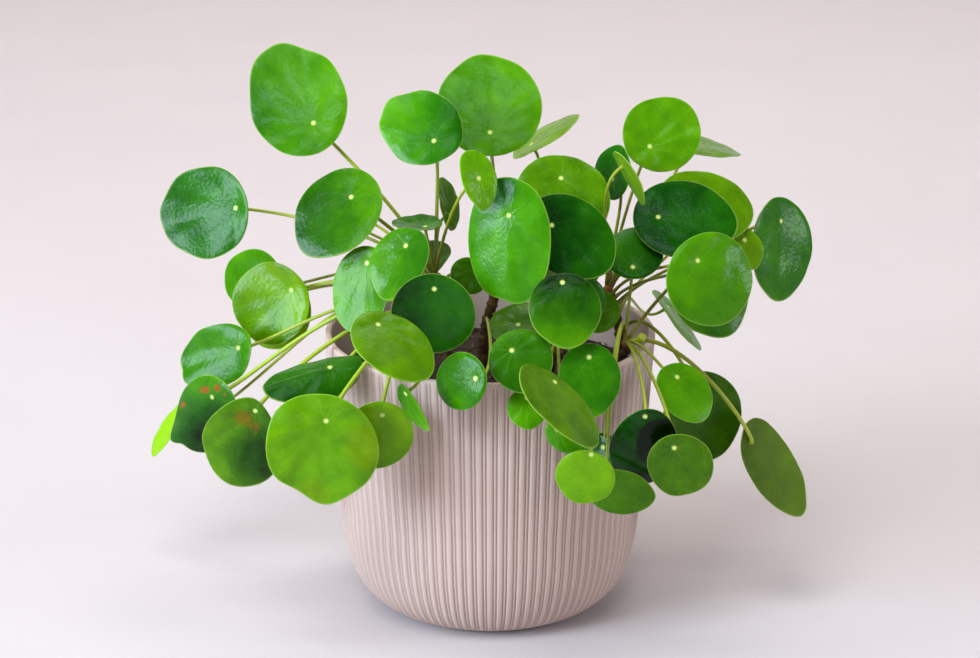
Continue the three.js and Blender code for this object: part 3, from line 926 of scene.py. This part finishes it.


# Each leaf's brightness is partly its own green and partly painted shade; its brighter side is painted light
LEAVES = [
    Leaf("leaf_01", "left", 0.98, (-99, 38, 115.5), (69, 56, 0.26, 0.07), (110, 18, 130),
         (-0.05, 0.02, 0.02), Look(0.44, 0.1, 0.15, 20), outline=(0, 0.0, 0.01), stalk_form=(1.2, 0.6),
         swells=((78, 34, -0.085),)),
    Leaf("leaf_02", "left", 0.93, (-145.8, 7, 69.3), (55, 53, 0.16), (188, 25, 180), (-0.08, 0.05, 0.02),
         Look(0.28, 0.0, 0.1, 30), outline=(-0.05, 0, 0.01), stalk_form=(1.05, 0.5)),
    Leaf("leaf_03", "left", 0.96, (-76.9, 56, 73), (55, 48, 0.3), (228, 25, 133),
         look=Look(0.35, 0.15, 0.3, 0), stalk_form=(1.2, 0.2)),
    Leaf("leaf_04", "left", 0.9, (-84, -20, 72), (50, 47, 0.35), (200, 30, 140), look=Look(0.15, 0.0)),
    Leaf("leaf_05", "left", 0.8, (-117.3, -35, 23), (47, 49, 0.2), (215, 25, 190), (-0.06, 0.05, 0.02),
         Look(0.75, 0.3, 0.15, 60), outline=(0.04, 0.03, 0), stalk_form=(1.15, 0.8)),
    Leaf("leaf_06", "left", 0.7, (-122, -56, 20), (48, 46, 0.25), (235, 25, 200), look=Look(0.8, 0.35)),
    Leaf("leaf_07", "left", 0.85, (-138, -72, 27), (42, 36, 0.3), (150, 30, 150), look=Look(0.48, 0.1)),
    Leaf("leaf_08", "left", 0.74, (-147.5, -25, -11.1), (50, 36, 0.2), (202, 30, 180), (-0.06, 0.05, 0.03),
         Look(0.4, 0.05), outline=(0, 0.03, 0.015), stalk_form=(1.15, 0.6)),
    Leaf("leaf_09", "left", 0.7, (-160.3, -2, -39.3), (57, 42, 0.25, 0.1), (222, 40, 200),
         (0.02, -0.25, 0.02), Look(0.35, 0.1, 0.25, 90,
              (Mark(RUST, -5.2, 4, 3.6), Mark(RUST, -3.6, 4.2, 3.4), Mark(RUST, 3.4, 5.2, 3.5),
               Mark(RUST, -19, -5, 3.2), Mark(RUST, 7.7, 1.8, 2, 0.8), Mark(DARK, -4, -18, 25, 0.36))),
         stalk_form=(1.4, 1.0), swells=((206, 18, 0.14), (236, 14, -0.04))),
    Leaf("leaf_10", "left", 0.66, (-130.1, 55, -45.4), (58, 46, 0.1, -0.07), (254, 30, 240),
         (0.06, 0.1, 0.03), Look(0.3, 0.35, 0.2, 180, (
             Mark(RUST, -7, -4, 9, 0.62), Mark(RUST, -1, -9, 7, 0.55), Mark(DARK, 0, -26, 22, 0.4))),
         outline=(0.14, 0, 0), stalk_form=(1.4, 0.8)),
    Leaf("leaf_11", "left", 0.68, (-88, 67.5, -21), (55, 30, 0.325, 0.05), (197, 45, 90), (0, -0.5, 0.01),
         Look(0.2, 0.1, 0.2, 90), stalk_form=(1.2, 0.9)),
    Leaf("leaf_12", "left", 0.72, (-88, 100, -49.4), (62, 61, 0.24), (262, 15, 250), (0.04, 0.08, 0.02),
         Look(0.6, 0.3, marks=(
              Mark(YELLOWING_AND_GLOW, 24, -14, 26, 0.6), Mark(YELLOWING_AND_GLOW, -8, -42, 20, 0.5),
              Mark(DARK, 26, -32, 16, 0.35))),
         stalk_form=(1.4, 0.9), relief=2.3, swells=((130, 26, 0.1), (240, 24, -0.08), (298, 20, -0.04))),
    Leaf("leaf_13", "left", 0.64, (-58, 93, -46.5), (38, 37, 0.2), (262, 20, 280), (0.05, 0.04, 0.01),
         Look(0.75, 0.3, 0.15, 45), stalk_form=(1.2, 0.9)),
    Leaf("leaf_14", "left", 0.5, (-45, 108, -34.5), (29, 17, 0.2), (297, 60, 215), (0.04, 0.3, 0),
         Look(0.4, 0.1, 0.35, 0)),
    Leaf("leaf_15", "left", 0.86, (-68, 59, 36.4), (47, 38, 0.2), (262, 30, 180), (-0.06, 0.1, 0.01),
         Look(0.55, 0.1, 0.1, 180), relief=0.6),
    Leaf("leaf_16", "left", 0.76, (-59.5, 112, 2.4), (49, 42, 0.21, -0.1), (320, 45, 65),
         (0.03, 0.04, 0.01), Look(0.5, 0.35)),
    Leaf("leaf_17", "left", 0.94, (-45.9, 78, 45.3), (41, 38, 0.27, 0.08), (240, 35, 150), (0.04, 0.25, 0),
         Look(0.32, 0.1, -0.25, 0)),
    Leaf("leaf_18", "left", 0.83, (-30, 96, 21.5), (45, 46, 0.19), (268, 20, 250), (0.06, 0.12, 0),
         Look(0.05, 0.05, 0.2, 10)),
    Leaf("leaf_19", "main", 0.5, (-7.8, 110, -26.4), (34, 31, 0.2), (190, 30, 180), (0.15, 0.04, 0),
         Look(0.36, 0.05)),
    Leaf("leaf_20", "main", 0.85, (10, 98, 61), (66, 49.5, 0.31, -0.02), (270, 24, 192),
         (0.05, -0.1, 0.01), Look(0.5, 0.0, marks=(Mark(DARK, -8, 14, 15, 0.6),)), stalk_form=(1.2, 0.5),
         swells=((262, 16, -0.06), (300, 26, 0.05), (225, 26, 0.04))),
    Leaf("leaf_21", "left", 0.97, (-31.2, 51, 104.5), (50, 43, 0.27, -0.04), (140, 20, 120),
         (0.08, 0.02, 0.04), Look(0.32, 0.0, 0.3, 180), outline=(0, 0, 0.015), stalk_form=(1.1, 0.4)),
    Leaf("leaf_22", "main", 0.98, (0, 16, 112), (62, 60, 0.24), (91, 20, 90), (0.01, 0.02, 0.01),
         Look(0.5, 0.1, 0.1, 0), outline=(0, 0.01, 0.008), stalk_form=(1.15, 0.3), relief=1.5),
    Leaf("leaf_23", "left", 0.99, (-6, 106, 80.4), (32, 22, 0.51), (285, 32, 20), (0.14, 0.2, 0),
         Look(0.7, 0.15)),
    Leaf("leaf_24", "main", 0.96, (40, 31, 85), (53, 55, 0.28), (275, 25, 70), (0.04, 0.03, 0.01),
         Look(0.46, 0.3, 0.1, 100)),
    Leaf("leaf_25", "main", 0.9, (34, 66, 57), (54, 47, 0.3), (322, 20, 45), (-0.14, 0.04, 0.01),
         Look(-0.08, 0.0, 0.3, 0), roll=1.5),
    Leaf("leaf_26", "right", 0.98, (92.7, -12, 106), (46, 45, 0.29), (45, 15, 60), (-0.07, 0.03, 0.01),
         Look(0.62, 0.15), stalk_form=(1.0, 0.1), relief=2.3),
    Leaf("leaf_27", "right", 0.96, (94.3, 38, 62.8), (57, 50, 0.25), (355, 25, 90), (0.04, 0.03, 0.01),
         Look(0.0, 0.0, 0.1, 20), stalk_form=(1.1, 0.1)),
    Leaf("leaf_28", "rightLow", 0.96, (79.6, 47, 34.5), (34, 33, 0.22), (85, 30, 90), (0.06, 0.02, 0.01),
         Look(0.18, 0.05, -0.2, 0)),
    Leaf("leaf_29", "right", 0.9, (114, 68, 37.5), (50, 54, 0.25), (310, 20, 20), (0.12, 0.03, 0.01),
         Look(0.5, 0.1), roll=0.9, relief=2.0),
    Leaf("leaf_30", "right", 0.86, (118, 37, 33.5), (52, 51, 0.25), (300, 25, 20), (0.1, 0.03, 0.01),
         Look(0.38, 0.1)),
    Leaf("leaf_31", "right", 0.94, (114, 13, 70), (57, 48, 0.35), (0, 30, 60), look=Look(0.5, 0.35)),
    Leaf("leaf_32", "rightLow", 0.9, (170, -21, 63), (59, 50, 0.24), (270, 40, 0), (0.05, 0.1, 0.01),
         Look(0.3, 0.05), stalk_form=(1.1, 0.3)),
    Leaf("leaf_33", "front", 0.98, (38.8, 101.5, 24.9), (40, 39, 0.14), (275, 20, 90), (0.09, 0.03, 0),
         Look(-0.1, 0.2, 0.35, 270)),
    Leaf("leaf_34", "main", 0.55, (16, 20, 2.5), (47, 40, 0.35), (345, 45, 90), look=Look(0.4, 0.3)),
    Leaf("leaf_35", "front", 0.92, (11.6, 105, -11.5), (33.4, 35, 0.32, 0.1), (285, 15, 100),
         (0.07, 0.04, 0), Look(0.28, 0.15, 0.1, 100)),
    Leaf("leaf_36", "front", 0.94, (34.2, 124, -27.9), (55, 39, 0.33, -0.3), (316, 55, 46),
         (0.04, 0.05, 0.01), Look(0.4, 0.45)),
    Leaf("leaf_37", "front", 0.97, (53.1, 100, -15.1), (39, 34, 0.2), (272, 15, 60), (0.06, 0.03, 0.01),
         Look(0.33, 0.05)),
    Leaf("leaf_38", "front", 0.9, (53.6, 114, -66.7), (32, 32, 0.06, 0.05), (250, 20, 250), (0.1, 0.04, 0),
         Look(0.78, 0.2)),
    Leaf("leaf_39", "rightLow", 0.95, (83, 102, -46.9), (54, 36, 0.1, 0.12), (255, 25, 250),
         (0.22, 0.04, 0),
         Look(-0.1, 0.0, -0.1, 340, (Mark(DARK, 9, -14, 15, 0.9),)), stalk_form=(1.1, 0.2)),
    Leaf("leaf_40", "rightLow", 0.92, (98.3, 107, -63.5), (35, 36, 0.27, 0.18), (250, 20, 250),
         look=Look(0.3, 0.45), stalk_form=(1.1, 0.3)),
    Leaf("leaf_41", "rightLow", 0.98, (103.6, 56, -26.6), (36, 32, 0.25, -0.08), (310, 30, 50),
         (0.05, 0.1, 0), Look(0.55, 0.1)),
    Leaf("leaf_42", "right", 0.5, (117, 20, -38), (54, 49, 0.25), (290, 25, 330),
         look=Look(0.2, 0.4), stalk_form=(1.15, 0.2)),
    Leaf("leaf_43", "rightLow", 0.97, (147.7, 20, -64.2), (64, 34, 0.17, -0.15), (301, 145, 180),
         (0.06, 0.15, 0.01), Look(0.08, 0.6, 0.3, 10), stalk_form=(1.3, 0.25)),
    Leaf("leaf_44", "left", 0.9, (-8, 50, 34), (22, 22, 0.2), (230, 25, 230), look=Look(0.4, 0.2)),
    Leaf("leaf_45", "left", 1, (-36, 52, 57), (27, 30, 0.35), (180, 72, 95), (-0.16, 0.05, 0),
         Look(0.25, 0.15)),
    Leaf("leaf_46", "left", 1, (-23, 12, 65), (30, 22, 0.3), (100, 62, 10),
         (0.02, 0.2, 0), Look(0.6, 0.3)),
    Leaf("leaf_47", "main", 0.95, (25, -77, 112), (46, 40, 0.3), (35, 72, 125), look=Look(0.55, 0.5)),
    Leaf("leaf_48", "right", 0.95, (118, -69, 112), (48, 44, 0.3), (355, 72, 80), look=Look(0.5, 0.45)),
    Leaf("leaf_49", "right", 0.99, (70, 10, 86), (31, 30, 0.4), (80, 50, 180), (0.05, 0.15, 0),
         Look(0.15, 0.0)),
    Leaf("leaf_50", "right", 0.8, (146, 6, 51), (24, 19, 0.3), (290, 20, 40), look=Look(0.6, 0.4)),
    Leaf("leaf_51", "front", 1, (50, 68, 21.5), (24, 24, 0.25), (300, 20, 0), look=Look(0.25, 0.05)),
    Leaf("leaf_52", "right", 0.7, (60, 43, 5), (26, 22, 0.3), (70, 25, 90), look=Look(0.5, 0.3)),
    Leaf("leaf_53", "rightLow", 0.85, (63, 80, -87), (38, 26, 0.3), (345, 20, 270), look=Look(0.4, 0.3)),
]

# Small leaves, and leaves round the back, that grew as one piece with their shoot
SHOOT_LEAVES = [
    Leaf("under_left", "left", 0.68, (-185, -42, -50), (41, 17, 0.3), (235, 55, 150), (0.04, 0.1, 0),
         Look(1.05, 0.2), outline=(0.28, 0, 0)),
    Leaf("fold_right", "right", 1, (74, 55, 90), (33, 20, 0.3), (300, 105, 30), (0.02, 0.2, 0),
         Look(0.6, 0.4)),
    Leaf("tuft_front_1", "front", 0.8, (20, 98, -37), (22, 22, 0.25), (270, 20, 90), look=Look(0.55, 0.1)),
    Leaf("tuft_front_2", "front", 0.84, (36, 102, -54), (24, 20, 0.25), (320, 30, 250),
         look=Look(0.55, 0.05)),
    Leaf("tuft_right", "rightLow", 0.8, (62, 66, -65), (32, 22, 0.25),
         (250, 30, 180), look=Look(0.15, 0.0)),
    Leaf("back_right", "right", 0.75, (110, -104, 14), (46, 36, 0.3), (310, 75, 40), look=Look(0.4, 0.15)),
    Leaf("back_1", "main", 0.8, (24, -62, 62), (56, 52, 0.28), (60, 120, 80), look=Look(0.42, 0.1)),
    Leaf("back_2", "left", 0.75, (-38, -95, 42), (54, 50, 0.28), (200, 115, 120), look=Look(0.35, 0.1)),
    Leaf("back_3", "right", 0.7, (112, -60, 52), (52, 48, 0.28), (20, 120, 60), look=Look(0.45, 0.15)),
    Leaf("back_4", "main", 0.75, (42, -80, 38), (50, 46, 0.28), (300, 110, 90), look=Look(0.35, 0.05)),
    Leaf("back_5", "left", 0.8, (-90, -84, 72), (52, 50, 0.28), (160, 115, 130), look=Look(0.4, 0.15)),
]


@dataclass
class Blade:
    """A leaf's blade: a thin round plate, turned on a lathe and then pressed into the leaf's form."""

    leaf: Leaf
    node: str
    slot: str
    thickness: float = 0.8
    crease_radius: float = 3.0
    dimple: float = 0.45
    pucker: float = 0.2
    rolling: float = 0.55
    quilting: float = 0.16

    def columns(self) -> int:
        """The number of columns round the blade, more for a larger one."""
        return 96 if self.leaf.size[0] >= 45 else 72 if self.leaf.size[0] >= 32 else 56

    def section(self) -> list[tuple[float, float]]:
        """The plate's section, out along its upper face and back along its underside.

        Returns:
            Points as reach (0 at the spot, 1 at the margin) and height above the middle surface.
        """
        half = self.thickness / 2
        edge = self.thickness / self.leaf.size[1]
        upper = [0, 0.03, 0.07, 0.13, 0.2, 0.3, 0.4, 0.5, 0.6, 0.7, 0.79, 0.87, 0.935]
        lower = [0.9, 0.78, 0.64, 0.5, 0.35, 0.2, 0.1, 0]
        section = [(reach, half) for reach in upper]
        for step in range(7):
            bend = math.pi * step / 6
            section.append((1 - edge + edge * math.sin(bend), half * math.cos(bend)))
        return section + [(reach, -half) for reach in lower]

    def surface(self, angle: float, reach: float) -> Vector:
        """A point of the blade's middle surface in its own frame: tip along x, upper face towards z.

        Args:
            angle: the angle round the blade from its tip.
            reach: from the spot (0) to the margin (1).

        Returns:
            The point, with the spot near the origin.
        """
        length, across, base = self.leaf.size[:3]
        aside = self.leaf.size[3] if len(self.leaf.size) > 3 else 0
        dome, fold, wave = self.leaf.form
        seed = self.leaf.seed
        tip = 0.04 * max(0.0, math.cos(angle)) ** 6
        egg, square, lobes = self.leaf.outline
        towards = self.leaf.facing_axes() @ Vector((math.cos(angle), math.sin(angle), 0))
        bearing = math.degrees(math.atan2(towards.z, towards.x))
        swell = 0.0
        for middle, width, amount in self.leaf.swells:
            gap = (bearing - middle + 180) % 360 - 180
            swell += amount * math.exp(-((gap / width) ** 2))
        uneven = 1 + 0.008 * math.sin(2 * angle + seed) + 0.006 * math.sin(5 * angle + seed * 2)
        uneven += square * abs(math.sin(2 * angle)) + lobes * math.sin(7 * angle + seed) + swell
        x = reach * length * (0.5 - base + math.cos(angle) / 2 + tip) * uneven
        y = reach * across * (aside + math.sin(angle) / 2) * uneven * (1 + egg * math.cos(angle))
        crease = fold * (math.hypot(y, self.crease_radius) - self.crease_radius)
        drop = 1.6 * dome * (x * x + y * y) / length
        ripple = wave * length * reach**2 * math.sin(3 * angle + length)
        dimple = self.dimple * math.exp(-(x * x + y * y) / 12)
        strength = self.pucker * (0.6 + 0.4 * math.sin(seed))
        radial = strength * eased(reach, 0.15, 0.8) * math.sin(9 * angle + seed)
        rolling = self.rolling * eased(reach, 0.1, 0.5) * noise.noise(Vector((x / 13, y / 13, seed)))
        quilted = self.quilting * eased(reach, 0.08, 0.3) * noise.noise(Vector((x / 5, y / 5, seed + 3)))
        puckers = (radial + rolling + quilted) * self.leaf.relief
        margin = self.leaf.roll * eased(reach, 0.8, 1.0)
        return Vector((x, y, crease - drop + ripple - dimple + puckers - margin))

    def tones(self, right: float, up: float, span: float) -> Vector:
        """The blade's brightness with its painted light and shade, its yellowing and its rust at a place.

        Args:
            right: millimetres to the right of the spot, as seen from the front.
            up: millimetres above it.
            span: the blade's half length.

        Returns:
            The three tones as a vector.
        """
        look = self.leaf.look
        bearing = math.radians(look.bearing)
        towards = (right * math.cos(bearing) + up * math.sin(bearing)) / span
        # Painted light and shade: the blade is brighter towards one side and darker where it lies in shadow
        bright = look.bright + look.shift * towards
        yellow = look.yellow
        rust = 0.0
        for mark in look.marks:
            distance = math.hypot(right - mark.right, up - mark.up)
            strength = mark.strength * (1 - eased(distance, mark.radius * 0.3, mark.radius))
            if mark.kind is MarkKind.RUST:
                rust = max(rust, strength)
            # Yellowing, partly painted light shining through the blade
            elif mark.kind is MarkKind.YELLOWING_AND_GLOW:
                yellow = max(yellow, strength)
            # A dark mark takes brightness away: painted shade
            else:
                bright -= strength
        return Vector((bright, yellow, rust))

    def build(self) -> bpy.types.Object:
        """Turns the plate, presses it, marks it for its finish and settles it.

        Returns:
            The blade's piece.
        """
        bm = bmesh.new()
        layers = bm.verts.layers
        place = layers.float_vector.new("blade")
        look = layers.float_vector.new("look")
        side = layers.float.new("side")
        seed = layers.float.new("seed")
        turned(bm, self.section(), self.columns())
        seat = self.leaf.seat()
        half = self.thickness / 2
        unlean = LEAN.inverted()
        spot = unlean @ seat.translation
        for vert in bm.verts:
            reach = math.hypot(vert.co.x, vert.co.y)
            lift = vert.co.z
            point = self.surface(math.atan2(vert.co.y, vert.co.x), reach)
            vert[place] = Vector((point.x, point.y, reach))
            vert[side] = min(max(0.5 + lift / self.thickness, 0.0), 1.0)
            vert[seed] = self.leaf.seed
            point.z += lift - (BLADE_HOLD - half - 0.3 if self.slot == "shoot" else 0)
            vert.co = seat @ point
            seen = unlean @ vert.co - spot
            vert[look] = self.tones(seen.x, seen.z, self.leaf.size[0] / 2)
        piece = new_object(f"blade_{self.leaf.name}", bm, LeafSkin())
        settle(piece, self.node)
        return piece


@dataclass
class Shoot:
    """A woody shoot: its stems with their scars and crowns, and the stalks that leave them."""

    name: str
    leaves: list[Leaf]
    stalk_steps: int = 22
    stalk_sides: int = 9

    def wood(self) -> bpy.types.Object:
        """Draws the shoot's stems, rough with scars, and settles the piece.

        Returns:
            The piece of bark.
        """
        bm = bmesh.new()
        bm.verts.layers.float.new("along")
        for stem in STEMS.values():
            if stem.shoot != self.name:
                continue
            line = stem.line()
            radii = []
            for index in range(len(line)):
                share = index / (len(line) - 1)
                scars = 0.1 * math.sin(index * 1.9) + 0.05 * math.sin(index * 3.1)
                radii.append(stem.radius * (1.02 - 0.14 * share + scars))
            radii[-1] *= 0.45
            for ring in Tube(line, radii, 14).draw(bm, {}):
                for vert in ring:
                    vert.co += Vector.Fill(3, 0.35) * noise.noise(vert.co / 3)
        piece = new_object(f"{self.name}_wood", bm, CorkyBark())
        settle(piece, self.name)
        return piece

    def stalks(self) -> bpy.types.Object:
        """Draws the shoot's leaf stalks, each with a knuckle under its blade, and settles the piece.

        Returns:
            The piece of stalks.
        """
        bm = bmesh.new()
        along = bm.verts.layers.float.new("along")
        tone = bm.verts.layers.float.new("tone")
        for leaf in self.leaves:
            line = leaf.stalk(self.stalk_steps)
            radii = []
            for index in range(len(line)):
                share = index / self.stalk_steps
                foot = 0.45 * (1 - eased(share, 0, 0.12))
                neck = 0.18 * eased(share, 0.85, 1.0)
                radii.append(STALK_RADIUS * leaf.stalk_form[0] * (0.98 - 0.12 * share + foot + neck))
            fresh = leaf.stalk_form[1]
            Tube(line, radii, self.stalk_sides).draw(bm, {"tone": fresh})
            seat = leaf.seat()
            knuckle = seat @ Matrix.Translation((0, 0, -1.3)) @ Matrix.Diagonal((1.5, 1.5, 1.1, 1))
            made = bmesh.ops.create_icosphere(bm, subdivisions=2, radius=1, matrix=knuckle)
            for vert in made["verts"]:
                vert[along] = 1.0
                vert[tone] = fresh
        piece = new_object(f"{self.name}_stalks", bm, StalkSkin())
        settle(piece, self.name)
        return piece


@dataclass(frozen=True)
class Bud:
    """The closed young leaf at the tip of the low right stem."""

    place: tuple[float, float, float] = (85.0, -39.0, 170.5)
    radius: float = 2.7

    def build(self) -> bpy.types.Object:
        """Draws the bud's neck and its rolled-up leaf, and settles the piece.

        Returns:
            The bud's piece.
        """
        bm = bmesh.new()
        along = bm.verts.layers.float.new("along")
        tone = bm.verts.layers.float.new("tone")
        crown = STEMS["rightLow"].at(1)
        tip = Vector(self.place)
        line = [crown.lerp(tip, step / 6) for step in range(7)]
        Tube(line, [1.2 - 0.04 * step for step in range(7)], 9).draw(bm, {"tone": 0.2})
        seat = Matrix.Translation(tip)
        made = bmesh.ops.create_uvsphere(bm, u_segments=20, v_segments=14, radius=self.radius, matrix=seat)
        for vert in made["verts"]:
            offset = vert.co - tip
            fold = 0.12 * math.sin(3 * math.atan2(offset.y, offset.x) + offset.z)
            vert.co = tip + offset * (1 + fold)
            vert[along] = 0.9
            vert[tone] = 0.1
        piece = new_object("shoot_right_bud", bm, StalkSkin())
        settle(piece, "shoot_right")
        return piece


@dataclass
class Studio:
    """The plain pale room: a floor that curves up to a backdrop, a cool window light and the camera."""

    reach: float = 3.2
    height: float = 3.0
    bend: float = 1.2
    camera_place: tuple[float, float, float] = (0.0, -1.386, 0.624)
    focal_pixels: float = 2537.0
    photo_width: float = 980.0
    sensor: float = 36.0

    def sweep(self) -> bpy.types.Object:
        """Turns the round floor with the wall that curves up from it all round.

        Returns:
            The sheet, which is no part of the object.
        """
        bm = bmesh.new()
        section = [(0.0, 0.0), (1.0, 0.0), (self.reach - self.bend, 0.0)]
        for step in range(1, 13):
            turn = step / 12 * math.pi / 2
            inward = self.bend * (1 - math.sin(turn))
            section.append((self.reach - inward, self.bend * (1 - math.cos(turn))))
        section.append((self.reach, self.height))
        turned(bm, [(radius / METRES, height / METRES) for radius, height in section], 96)
        bmesh.ops.reverse_faces(bm, faces=bm.faces)
        sheet = new_object("floor_and_backdrop", bm, PaintedBoard())
        return sheet

    def light(
        self,
        name: str,
        place: tuple[float, float, float],
        target: tuple[float, float, float],
        size: tuple[float, float],
        power: float,
        colour: str,
    ) -> bpy.types.Object:
        """Hangs one soft rectangular light.

        Args:
            name: its name.
            place: where it hangs, in metres.
            target: the point that it faces, in metres.
            size: its width and height in metres.
            power: its power in watts.
            colour: its sRGB hex value.

        Returns:
            The light.
        """
        data = bpy.data.lights.new(name, "AREA")
        data.shape = "RECTANGLE"
        data.size, data.size_y = size
        data.energy = power
        data.color = linear(colour)[:3]
        lamp = bpy.data.objects.new(name, data)
        lamp.location = place
        lamp.rotation_euler = (Vector(target) - lamp.location).to_track_quat("-Z", "Y").to_euler()
        bpy.context.scene.collection.objects.link(lamp)
        return lamp

    def camera(self) -> bpy.types.Object:
        """Sets up the camera that took the photograph: slightly above the plant, and looking down at it.

        Returns:
            The camera.
        """
        data = bpy.data.cameras.new("camera")
        data.sensor_fit = "HORIZONTAL"
        data.sensor_width = self.sensor
        data.lens = self.focal_pixels / self.photo_width * self.sensor
        camera = bpy.data.objects.new("camera", data)
        camera.location = self.camera_place
        camera.rotation_euler = (math.radians(90 - CAMERA_PITCH), 0, 0)
        bpy.context.scene.collection.objects.link(camera)
        bpy.context.scene.camera = camera
        return camera

    def world(self) -> None:
        """Fills the room with a pale even light."""
        world = bpy.data.worlds.new("pale_room")
        world.use_nodes = True
        background = world.node_tree.nodes["Background"]
        background.inputs["Color"].default_value = linear("#f4f0ee")
        background.inputs["Strength"].default_value = 0.14
        bpy.context.scene.world = world

    def build(self) -> None:
        """Builds the whole room."""
        self.sweep()
        self.camera()
        self.world()
        plant = (0.0, 0.0, 0.2)
        self.light("window_left", (-1.85, -1.08, 0.8), plant, (0.95, 0.95), 58.0, "#d6eaff")
        self.light("window_pane", (-0.89, -1.19, 1.61), plant, (0.5, 0.3), 5.0, "#e6f2ff")
        for name, height in (("window_right_upper", 0.9), ("window_right_lower", 0.42)):
            self.light(name, (2.05, -0.4, height), plant, (0.55, 0.18), 6.0, "#eef4ff")
        key = self.light("window_high", (-0.35, -1.0, 2.05), plant, (1.0, 1.0), 22.0, "#fdfaf6")
        # The high window lights the leaves but leaves no mirror image on them
        key.visible_glossy = False
        self.light("skylight", (-0.1, -0.8, 1.95), plant, (0.8, 0.45), 4.5, "#e6f2ff")
        self.light("ceiling_soft", (-0.2, 0.5, 1.9), plant, (2.2, 0.9), 14.0, "#fff8f0")
        self.light("backdrop_wash", (0.0, 1.0, 2.3), (0.0, 3.2, 0.6), (3.0, 0.5), 44.0, "#fff8f6")
        bpy.context.scene.view_settings.view_transform = "Standard"


def main() -> None:
    """Builds the pot, the soil, the shoots, the blades and the room."""
    logging.basicConfig(level=logging.INFO, format="%(message)s")
    pot = RibbedPot()
    pot.build()
    SoilFill(pot).build()
    for name in ("shoot_main", "shoot_left", "shoot_front", "shoot_right"):
        borne = [leaf for leaf in [*LEAVES, *SHOOT_LEAVES] if STEMS[leaf.stem].shoot == name]
        shoot = Shoot(name, borne)
        shoot.wood()
        shoot.stalks()
    Bud().build()
    for leaf in LEAVES:
        Blade(leaf, leaf.name, "blade").build()
    for leaf in SHOOT_LEAVES:
        Blade(leaf, STEMS[leaf.stem].shoot, "shoot").build()
    Studio().build()


if __name__ == "__main__":
    main()
